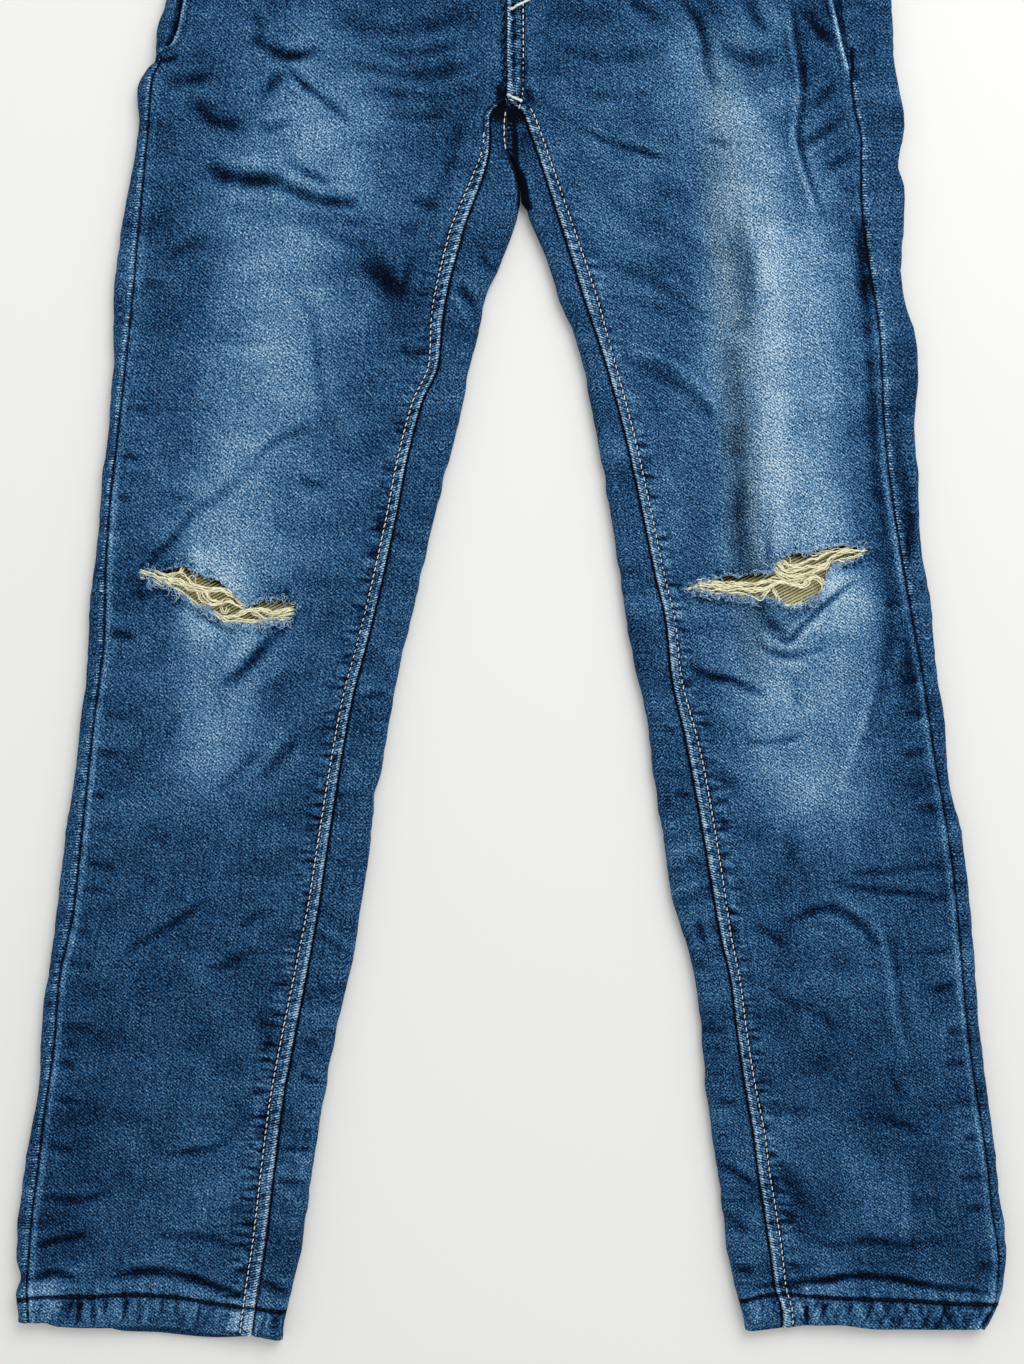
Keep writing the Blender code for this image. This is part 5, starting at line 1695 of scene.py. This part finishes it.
def band_layout():
    """The waistband's grid, once round the waist from lap to lap."""
    level = np.concatenate([
        [0.0, 0.5, 1.1], np.linspace(1.8, BAND_DEPTH - 1.8, 18),
        [BAND_DEPTH - 1.1, BAND_DEPTH - 0.5, BAND_DEPTH],
    ])[:, None]
    taper = BAND_TAPER * level / BAND_DEPTH
    right = RIGHT_OUTER[-1][1] + taper
    left = LEFT_OUTER[-1][1] - taper
    angles = np.pi * np.arange(1, 9)[None, :] / 8
    lap_edge = [LAP_END, LAP_END + 0.5, LAP_END + 1.2]
    front_left = np.concatenate([lap_edge, band_column(lap_edge[-1], LAP_FRONT)])
    parts_x, parts_z = [], []
    top = 2 * BAND_RADIUS

    def add(x, z):
        """Keep one stretch of the band's profile."""
        x, z = np.broadcast_arrays(x, z)
        parts_x.append(x)
        parts_z.append(z)

    def run(start, end, columns, z):
        """A flat run of the band between two places across it."""
        share = band_column(0.0, columns * BAND_COLUMN)[None, :] / (columns * BAND_COLUMN)
        add(start + (end - start) * share, z)

    add(np.broadcast_to(front_left, (len(level), len(front_left))), top + lap_lift(front_left))
    run(LAP_FRONT, left - BAND_RADIUS, 28, top)
    add(left - BAND_RADIUS * (1 - np.sin(angles)), BAND_RADIUS * (1 + np.cos(angles)))
    run(left - BAND_RADIUS, right + BAND_RADIUS, 96, 0.0)
    add(right + BAND_RADIUS * (1 - np.sin(angles)), BAND_RADIUS * (1 - np.cos(angles)))
    run(right + BAND_RADIUS, LAP_UNDER, 46, top)
    x, z = np.concatenate(parts_x, axis=1), np.concatenate(parts_z, axis=1)
    y = WAIST_SEAM + np.broadcast_to(level, x.shape)
    upward = np.where(z > BAND_RADIUS, 1.0, -1.0)
    edge = np.minimum(level, BAND_DEPTH - level)
    waves = 0.22 * lumps(x, y, 16, 13, 91) + 0.12 * lumps(x, y, 5, 9, 92) * bell(edge, 7.0)
    relief = waves - 0.45 * bell(edge - STITCH_INSET, 0.6) - 0.5 * (1 - ease(0.0, 1.2, edge))
    relief = np.where(upward > 0, relief, np.maximum(-relief, 0.0) * -1.0)
    z = np.maximum(z + upward * relief, 0.0)
    worn = 0.03 + 0.05 * bell(edge, 2.0)
    # painted light on the tops of the band's waves and painted shade in the grooves of its
    # topstitching; the edges are worn
    shade = 0.12 * waves - 0.14 * bell(edge - STITCH_INSET, 0.5)
    return Laid(x, y, z, x, y, worn, shade, *NO_SEAM)

# %% The waistband's piece, and the button's finish
def waistband(finish):
    """Make the waistband, and give its cut's width, length and area."""
    laid = band_layout()
    mesh = grid_mesh("jeans_waistband", laid)
    face_outwards(mesh, laid.x.shape[1] * 10 + 10)
    piece = add_piece("jeans_waistband", mesh, finish, finish)
    add_wall(piece, BAND_WALL)
    return piece, sheet_size(laid)


band, band_cut = waistband(strip_denim)
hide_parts("waistband")
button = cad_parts["waist_button"]
button.data.materials.clear()
button.data.materials.append(button_finish())
print("waistband, flat m:", [round(size, 3) for size in band_cut])

# %% [markdown]
# ## Stitching
#
# Each stitch is a short thread that dips into the cloth at both ends, so a
# stretched ball with few faces is enough. All the stitches of one thread are
# made in one mesh, walked along the seam at the stitch pitch and laid on the
# same upper layer as the cloth.

# %% Stitches along a path
Sewing = namedtuple("Sewing", "length gap radius")
TOPSTITCH = Sewing(2.20, 0.57, 0.26)
HEM_STITCHES = Sewing(2.5, 0.7, 0.25)


def point_along(path, passed, at):
    """Points of a path at the given lengths along it."""
    return np.interp(at, passed, path[:, 0]), np.interp(at, passed, path[:, 1])


def walk(path, pitch):
    """Places and directions at an even pitch along a path in mm."""
    passed = passed_along(path)
    at = np.arange(pitch / 2, passed[-1], pitch)
    x, y = point_along(path, passed, at)
    x_next, y_next = point_along(path, passed, at + 0.3)
    x_last, y_last = point_along(path, passed, at - 0.3)
    heading = np.arctan2(y_next - y_last, x_next - x_last)
    return x, y, heading


def one_stitch():
    """A round ball with few faces, stretched into each stitch."""
    ball = bmesh.new()
    bmesh.ops.create_uvsphere(ball, u_segments=6, v_segments=5, radius=1.0)
    mesh = bpy.data.meshes.new("one_stitch")
    ball.to_mesh(mesh)
    ball.free()
    return mesh


STITCH = one_stitch()


def sew(bm, path, height_at, kind, rng, turn=0.0):
    """Lay stitches along a path, on the height that a function gives."""
    x, y, heading = walk(np.array(path, float), kind.length + kind.gap)
    heading = heading + math.radians(turn) + rng.normal(0.0, 0.05, len(x))
    half = kind.length / 2
    ahead = height_at(x + np.cos(heading) * half, y + np.sin(heading) * half)
    behind = height_at(x - np.cos(heading) * half, y - np.sin(heading) * half)
    middle = height_at(x, y)
    centres = place(x, y, middle + 0.35 * kind.radius)
    sizes = rng.uniform(0.9, 1.08, len(x))
    for centre, angle, rise, size in zip(centres, heading, ahead - behind, sizes):
        run = Vector((math.cos(angle) * kind.length, math.sin(angle) * kind.length, float(rise) * 0.5))
        turned = run.to_track_quat("Z", "Y").to_matrix().to_4x4()
        scale = Matrix.Diagonal((kind.radius * MM, kind.radius * MM, size * half * MM, 1.0))
        matrix = Matrix.Translation(Vector(centre)) @ turned @ scale
        STITCH.transform(matrix)
        bm.from_mesh(STITCH)
        STITCH.transform(matrix.inverted())
    return len(x)

# %% Heights that stitches are laid on
def level_at(rise):
    """The same height everywhere, for stitches on the underside."""
    return lambda x, y: np.full(np.shape(x), rise)


def on_leg(leg):
    """The height of the cloth on a leg, for stitches on its front."""
    return lambda x, y: upper_layer(leg, x, y).height


def line_path(table, low, high, offset=None, step=2.0):
    """Path along a line table between two levels, moved sideways by an offset."""
    y = np.arange(low, high, step)
    x = read_line(table, y)
    if offset is not None:
        x = x + offset(y)
    return np.column_stack([x, y])


def sewn_piece(name, bm, finish):
    """Turn the stitches of one thread into a piece."""
    mesh = bpy.data.meshes.new(name)
    bm.to_mesh(mesh)
    bm.free()
    piece = add_piece(name, mesh, finish)
    return piece

# %% Inseam stitches, on ecru thread
rng = np.random.default_rng(201)
bm = bmesh.new()
count = 0
for leg, low, high in ((RIGHT_LEG, -522.5, -4.0), (LEFT_LEG, -519.0, 7.0)):
    run = line_path(leg.inseam, low, high, lambda y, leg=leg: -leg.across * read_line(leg.topstitch, y))
    count += sew(bm, run, on_leg(leg), TOPSTITCH, rng, turn=-7.0)
print("inseam stitches:", count)

# %% Fly, crotch and waistband stitches, on the same ecru thread
SATIN = Sewing(1.35, -0.9, 0.26)
BUTTONHOLE = Sewing(1.2, -0.7, 0.22)
FLY_CURVE = [(6.8, 51.5), (12, 56), (19, 64), (25, 76), (28, 92), (29, 120), (29, 169)]


def satin_bar(bm, start, end, height_at, rng):
    """A bartack: short stitches packed side by side across a bar."""
    return sew(bm, [start, end], height_at, SATIN, rng, turn=78.0)


top_left = on_leg(LEFT_LEG)
top_right = on_leg(RIGHT_LEG)
count = sew(bm, [(3.5, 50.5), (3.6, 30), (3.4, 12), (2.4, 6.5), (1.4, 3.0)], top_left, TOPSTITCH, rng)
count += sew(bm, smooth_path(FLY_CURVE), top_left, TOPSTITCH, rng)
count += sew(bm, [(-4.0, 3.5), (-4.7, -2), (-4.6, -8), (-4.0, -13.0)], top_right, TOPSTITCH, rng)


def over_left(x, y):
    """Just over the cloth, where a bartack crosses other stitches."""
    return top_left(x, y) + 0.45


back_rise = level_at(0.12)
count += satin_bar(bm, (-3.4, 10.1), (3.3, 7.2), over_left, rng)
count += satin_bar(bm, (-2.4, 46.6), (7.0, 51.4), over_left, rng)
for leg in (RIGHT_LEG, LEFT_LEG):
    mouth = line_path(leg.mouth, 56.0, 168.0, lambda y, leg=leg: leg.across * 5.0)
    count += sew(bm, mouth, on_leg(leg), TOPSTITCH, rng)
count += sew(bm, [(FLY_EDGE + 3.0, -12.0), (FLY_EDGE + 3.0, 169.0)], back_rise, TOPSTITCH, rng)


def band_front(x, y):
    """Height of the waistband's front, with its upper lap."""
    lift = np.where(x > LAP_END, lap_lift(x), 0.0)
    return 2 * BAND_RADIUS + lift + 0.22 * lumps(x, y, 16, 13, 91) - 0.4


for level in (WAIST_SEAM + STITCH_INSET, WAIST_SEAM + BAND_DEPTH - STITCH_INSET):
    count += sew(bm, [(LAP_END + 3, level), (136.0, level)], band_front, TOPSTITCH, rng)
    count += sew(bm, [(-128.0, level), (LAP_END - 1.5, level)], band_front, TOPSTITCH, rng)
    count += sew(bm, [(-126.0, level), (136.0, level)], back_rise, TOPSTITCH, rng)
lap_line = [(LAP_END + STITCH_INSET, WAIST_SEAM + rise) for rise in (3, 27)]
count += sew(bm, lap_line, band_front, TOPSTITCH, rng)
BUTTON_AT = (-11.0, WAIST_SEAM + BAND_DEPTH / 2)
turns = np.linspace(0, 2 * math.pi, 40)
eye = np.column_stack([BUTTON_AT[0] + 2.0 + 9.5 * np.cos(turns), BUTTON_AT[1] + 1.9 * np.sin(turns)])
count += sew(bm, eye, lambda x, y: band_front(x, y) + 0.3, BUTTONHOLE, rng, turn=80.0)
ecru_stitches = sewn_piece("stitches_ecru", bm, ecru_thread)
print("other ecru stitches:", count, "faces in all:", len(ecru_stitches.data.polygons))

# %% Hem stitches, on navy thread, on both sides of each leg
bm = bmesh.new()
count = 0
for leg in (RIGHT_LEG, LEFT_LEG):
    outer = float(read_line(leg.outer, leg.stitch[0][1])) + leg.across * 2.0
    inner = float(read_line(leg.inner, leg.stitch[0][1])) - leg.across * 2.5
    x = np.linspace(outer, inner, 90)
    run = np.column_stack([x, read_line(leg.stitch, x)])
    count += sew(bm, run, on_leg(leg), HEM_STITCHES, rng)
    count += sew(bm, run[4:-4], level_at(0.32), HEM_STITCHES, rng)
navy_stitches = sewn_piece("stitches_navy", bm, navy_thread)
print("hem stitches:", count)

# %% [markdown]
# ## Torn threads
#
# When denim tears across the knee, the blue warp yarns break and curl into
# small loops on both lips, while some pale weft yarns still cross the hole.
# The weft yarns are laid as bundles along given paths, each strand with
# its own stray; the loops are short curling threads grown from the lips.

# %% Threads as tubes
WEFT_RADIUS = 0.28
WEFT_STEP = 0.55       # between the points of a strand
FRAY_RADIUS = 0.22


def tubes(name, strands, radius, finish):
    """One mesh of round threads, each along its own points in mm."""
    curve = bpy.data.curves.new(name + "_lines", "CURVE")
    curve.dimensions = "3D"
    curve.bevel_depth = radius * MM
    curve.bevel_resolution = 1
    curve.use_fill_caps = True
    for points, thickness in strands:
        spline = curve.splines.new("POLY")
        spline.points.add(len(points) - 1)
        flat = np.column_stack([place(*points.T), np.ones(len(points))])
        spline.points.foreach_set("co", flat.reshape(-1))
        spline.points.foreach_set("radius", np.asarray(thickness, float))
    holder = bpy.data.objects.new(name + "_lines", curve)
    bpy.context.scene.collection.objects.link(holder)
    bpy.context.view_layer.update()
    shape = holder.evaluated_get(bpy.context.evaluated_depsgraph_get())
    mesh = bpy.data.meshes.new_from_object(shape)
    mesh.name = name
    bpy.data.objects.remove(holder)
    mesh.materials.clear()
    piece = add_piece(name, mesh, finish)
    print(name, "threads:", len(strands), "faces:", len(mesh.polygons))
    return piece

# %% Weft yarns that cross the rips: path, strands, spread, height
Bundle = namedtuple("Bundle", "path strands spread height")
RIGHT_WEFTS = [Bundle(*row) for row in (
    ([(-163, -194.6), (-161, -195.2), (-154, -197.4), (-149.4, -199), (-143.5, -200.2), (-138, -201.2),
        (-133.6, -202.1), (-128, -202.6), (-123, -203.6), (-120.3, -205), (-118.8, -207.6),
        (-116.3, -210)], 5, 0.9, 4.3),
    ([(-163, -196.6), (-161, -197.2), (-156, -199), (-151, -200.6), (-146, -203), (-141, -206),
        (-138, -208.4), (-134, -210.4), (-131, -211)], 4, 0.7, 4.2),
    ([(-151, -198.7), (-145, -198.9), (-140, -202.4), (-136, -202.3), (-131, -204.4)], 4, 1.0, 4.6),
    ([(-139, -201), (-136.4, -204), (-135.2, -207.4), (-132, -209), (-126.7, -208.6)], 3, 0.6, 4.7),
    ([(-134, -202.4), (-131.3, -207), (-126.7, -208.4), (-123.2, -207.7), (-119.8, -209.5),
        (-115.6, -211)], 4, 0.9, 4.8),
    ([(-133, -204.4), (-129, -203.3), (-126, -203.2), (-122.2, -204.9), (-119, -207)], 3, 0.5, 5.0),
    ([(-131.5, -212.5), (-129, -213), (-126, -214.6), (-121.2, -214.5), (-117.3, -212.5),
        (-114.8, -211.5), (-109, -211.5), (-104, -212.8), (-100.5, -212), (-95, -211)], 5, 0.8, 4.5),
    ([(-128, -214.6), (-126.2, -215.5), (-123.7, -217), (-118.8, -216.2), (-111.4, -216.4),
        (-104, -216.2), (-97, -215.6), (-94, -215)], 4, 0.6, 4.2),
    ([(-114.3, -210.5), (-110.4, -213.5), (-106.4, -215.3), (-100, -214.2), (-95, -213)], 4, 0.9, 4.4),
    ([(-158, -194.3), (-154.3, -195.3), (-151, -196.3), (-148, -196.7), (-144.5, -195.3),
        (-143.3, -193)], 3, 0.4, 4.2),
    ([(-144.5, -194.6), (-142, -197), (-139, -200.2), (-136, -201)], 2, 0.5, 4.0),
    ([(-138, -200), (-137.4, -197.4), (-139.4, -197), (-140, -199)], 1, 0.2, 4.4),
    ([(-126.3, -210), (-126, -211.4), (-124.8, -212.4), (-123.6, -210.6)], 2, 0.4, 4.6),
)]
LEFT_WEFTS = [Bundle(*row) for row in (
    ([(73, -202.4), (75.4, -201.8), (82, -200.8), (89, -201.8), (95.7, -201.8), (101.7, -202.8),
        (106.7, -202.5), (110.5, -201), (114.4, -199.2), (118.8, -200.4), (123.7, -201.2),
        (126.4, -198.5), (129.2, -197.7), (132, -199.4), (134, -201)], 5, 0.9, 4.5),
    ([(76, -201), (78, -199.8), (84.7, -199.2), (91.3, -200.6), (97.4, -200.4), (104, -200.2),
        (110.5, -198.6), (114.4, -199)], 4, 0.8, 4.3),
    ([(77, -202.8), (79.2, -202.6), (86.4, -203.5), (92, -204), (97.4, -204.5), (104, -206.4),
        (106.7, -205.5), (110.5, -201.4)], 4, 0.7, 4.2),
    ([(110.5, -201.3), (112.7, -205.5), (115.5, -209), (120.4, -209.5), (124, -208.6)], 3, 0.5, 4.0),
    ([(110.5, -192.6), (111.8, -193.8), (115, -196.3), (120.4, -196.8), (126, -196), (130.3, -194.7),
        (134, -193), (135.4, -189.8), (138.5, -187.6), (143.5, -186.4), (149, -186), (152, -185.6)],
        5, 0.9, 4.6),
    ([(111.5, -191.6), (113, -192), (116.6, -195), (122, -194.1), (127.5, -193), (132, -192.4),
        (135, -190.4)], 4, 0.7, 4.4),
    ([(113, -190), (115, -190.4), (117.7, -192.4), (121.5, -191.9), (124.8, -190.3), (128.6, -189.3),
        (133, -187.6), (137, -186)], 3, 0.4, 4.3),
    ([(113.8, -189.6), (115.5, -193), (117.6, -195.3)], 1, 0.2, 4.6),
    ([(115.6, -188.9), (117, -192), (118.8, -194.2)], 1, 0.2, 4.7),
    ([(118, -188.6), (118.9, -190.8), (119.4, -192.5)], 1, 0.2, 4.7),
    ([(111, -194.6), (115, -197.6), (119.3, -198.8), (123.2, -198.5), (125.4, -197)], 3, 0.5, 4.4),
    ([(126, -186), (128.6, -187.6), (133, -186.5), (139.6, -185.4), (146, -185)], 2, 0.5, 4.2),
    ([(136, -191), (138, -190.2), (142.4, -190), (147, -188.8), (151, -187)], 3, 0.4, 4.2),
    ([(131.8, -199), (132.6, -202), (131, -205)], 2, 0.6, 4.2),
)]

# %% Laying the weft yarns
def lay_wefts(bundles, seed):
    """Strands along each bundle, straying from it by their own soft curves."""
    rng = np.random.default_rng(seed)
    strands = []
    for number, bundle in enumerate(bundles):
        path = smooth_path(bundle.path)
        passed = passed_along(path)
        at = np.linspace(0, passed[-1], max(8, int(passed[-1] / WEFT_STEP)))
        x, y = point_along(path, passed, at)
        heading = np.arctan2(np.gradient(y), np.gradient(x))
        for strand in range(bundle.strands):
            key = seed * 100 + number * 10 + strand
            place_in = (strand - (bundle.strands - 1) / 2) / max(bundle.strands - 1, 1)
            aside = 2 * bundle.spread * place_in * (0.75 + 0.5 * wobble(at, 6.0, key))
            aside = aside + 0.55 * wobble(at, 2.6, key + 3) + 0.22 * wobble(at, 1.1, key + 5)
            rise = bundle.height + 0.9 + 0.8 * wobble(at, 3.5, key + 7) + rng.uniform(-0.5, 0.5)
            ends = np.minimum(at, passed[-1] - at)
            rise = rise - 1.6 * (1 - ease(0.0, 3.0, ends))
            points = np.column_stack([x - np.sin(heading) * aside, y + np.cos(heading) * aside, rise])
            strands.append((points, 1.0 + 0.2 * wobble(at, 2.0, key + 9)))
    return strands


wefts = tubes("torn_wefts", lay_wefts(RIGHT_WEFTS, 301) + lay_wefts(LEFT_WEFTS, 302), WEFT_RADIUS,
              weft_thread)

# %% Frayed warp loops on the lips: part of the lip, where from, where to, how many
Fringe = namedtuple("Fringe", "lip start end loops length")
RIGHT_FRINGES = [Fringe(*row) for row in (
    ("lower", -161.5, -154, 12, 3.6), ("lower", -152, -145, 9, 4.2),
    ("lower", -145, -139, 6, 3.6), ("lower", -138, -128, 16, 4.6),
    ("lower", -127, -120, 7, 3.2), ("lower", -113, -97, 22, 3.6),
    ("upper", -158, -149, 6, 3.0), ("upper", -146, -132, 9, 2.2),
    ("upper", -131, -118, 9, 2.4), ("upper", -116, -104, 14, 3.4),
    ("upper", -104, -94, 8, 2.6),
)]
LEFT_FRINGES = [Fringe(*row) for row in (
    ("lower", 74.5, 84, 14, 3.2), ("lower", 84, 93, 12, 3.0),
    ("lower", 93, 104, 18, 3.6), ("lower", 104, 113, 10, 2.6),
    ("lower", 113, 124, 12, 2.4), ("lower", 125, 136, 12, 2.8),
    ("upper", 75, 90, 14, 2.6), ("upper", 90, 108, 12, 2.0),
    ("upper", 108, 112, 7, 3.0), ("upper", 112, 130, 14, 2.2),
    ("upper", 130, 147, 10, 2.0), ("upper", 147, 152, 6, 3.4),
    ("lower", 136, 150, 9, 2.0),
)]

# %% Growing the frayed loops
def curl_loop(x, y, z, heading, length, turn, rng):
    """A short thread that leaves its place, curls round and lies back."""
    steps = 9
    turning = turn * np.linspace(0.4, 1.6, steps) / steps + rng.normal(0, 0.18, steps)
    headings = heading + np.cumsum(turning)
    step = length / steps
    xs = x + np.concatenate([[0], np.cumsum(np.cos(headings) * step)])
    ys = y + np.concatenate([[0], np.cumsum(np.sin(headings) * step)])
    t = np.linspace(0, 1, steps + 1)
    zs = z + 1.2 * np.sin(np.pi * np.minimum(t * 1.25, 1.0)) * rng.uniform(0.4, 1.0) - 0.15
    return np.column_stack([xs, ys, zs]), 1.0 - 0.35 * t


def fray(leg, rip, fringes, seed):
    """Curling threads grown along one leg's lips."""
    rng = np.random.default_rng(seed)
    strands = []
    for fringe in fringes:
        loops = round(1.5 * fringe.loops)
        x = rng.uniform(fringe.start, fringe.end, loops)
        upper, lower, _ = lip_lines(rip, x)
        down = fringe.lip == "lower"
        y = (lower if down else upper) + rng.uniform(-0.5, 0.3, loops) * (1 if down else -1)
        z = upper_layer(leg, x, y).height + 0.5
        for place_x, place_y, place_z in zip(x, y, z):
            away = -math.pi / 2 if down else math.pi / 2
            inward = rng.random() < (0.35 if down else 0.55)
            heading = (-away if inward else away) + rng.normal(0, 0.7)
            turn = rng.choice([-1, 1]) * rng.uniform(1.2, 5.2)
            length = fringe.length * rng.uniform(0.7, 1.6)
            strands.append(curl_loop(place_x, place_y, place_z, heading, length, turn, rng))
    return strands


frays = tubes("frayed_loops", fray(RIGHT_LEG, RIGHT_RIP, RIGHT_FRINGES, 401)
              + fray(LEFT_LEG, LEFT_RIP, LEFT_FRINGES, 402), FRAY_RADIUS, fray_thread)

# %% [markdown]
# ## The cut of the cloth pieces
#
# The jeans are sewn from seven flat sheets.


def declare(piece, cut):
    width, length, area = cut
    area = min(area, width * length)
    print(piece.name, "cut m:", round(width, 3), "x", round(length, 3), "area m2:", round(area, 4))


declare(back_right, back_right_cut)
declare(back_left, back_left_cut)
declare(front_right, front_right_cut)
declare(front_left, front_left_cut)
declare(facing_right, facing_right_cut)
declare(facing_left, facing_left_cut)
declare(band, band_cut)

# %% [markdown]
# ## The stage
#
# The jeans lie on a plain pale sheet under a big soft light from the upper
# right, like a cloudy window. A wide, weak light keeps the hollows of the
# creases open, and shade painted into the cloth's colour darkens them: a hard
# lamp would draw dark edges that soft cloth doesn't have. The camera looks
# straight down, a little below the middle, because the garment was laid out to
# be seen whole from above.

# %% Stage
FLOOR_GAP = 0.0003     # so that the jeans' underside doesn't lie in the sheet's own plane
def stage():
    """The pale sheet that the jeans lie on."""
    bm = bmesh.new()
    bmesh.ops.create_grid(bm, x_segments=1, y_segments=1, size=2.0)
    mesh = bpy.data.meshes.new("floor")
    bm.to_mesh(mesh)
    bm.free()
    floor = bpy.data.objects.new("floor", mesh)
    floor.location.z = -FLOOR_GAP
    bpy.context.scene.collection.objects.link(floor)
    finish, _, shader = new_finish("pale_floor", 0.9, 0.1)
    shader.inputs["Base Color"].default_value = dye(244, 244, 241)
    mesh.materials.append(finish)
    return floor


print("stage:", stage().name)

# %% Soft light from a window and the sky
def soft_light(name, place_at, size, power):
    """A square light that shines at the middle of the jeans."""
    lamp = bpy.data.lights.new(name, "AREA")
    lamp.shape = "RECTANGLE"
    lamp.size = size
    lamp.size_y = size
    lamp.energy = power
    holder = bpy.data.objects.new(name, lamp)
    holder.location = place_at
    holder.rotation_euler = (-Vector(place_at)).to_track_quat("-Z", "Y").to_euler()
    bpy.context.scene.collection.objects.link(holder)


SKY_STRENGTH = 0.62
world = bpy.data.worlds.new("studio")
bpy.context.scene.world = world
world.use_nodes = True
world.node_tree.nodes["Background"].inputs["Color"].default_value = (1.0, 1.0, 1.0, 1.0)
world.node_tree.nodes["Background"].inputs["Strength"].default_value = SKY_STRENGTH
soft_light("window", (0.6, 0.9, 1.3), 1.2, 16.0)
print("lights:", [thing.name for thing in bpy.context.scene.objects if thing.type == "LIGHT"])

# %% Camera
CAMERA_AT = (0.0005, -0.080)
CAMERA_UP = 0.905
LENS = 55.2
camera_data = bpy.data.cameras.new("camera")
camera_data.lens = LENS
camera = bpy.data.objects.new("camera", camera_data)
camera.location = (CAMERA_AT[0], CAMERA_AT[1], CAMERA_UP)
bpy.context.scene.collection.objects.link(camera)
bpy.context.scene.camera = camera
bpy.context.scene.view_settings.view_transform = "Standard"
print("camera at", [round(value, 4) for value in camera.location], "lens", camera_data.lens, "mm")
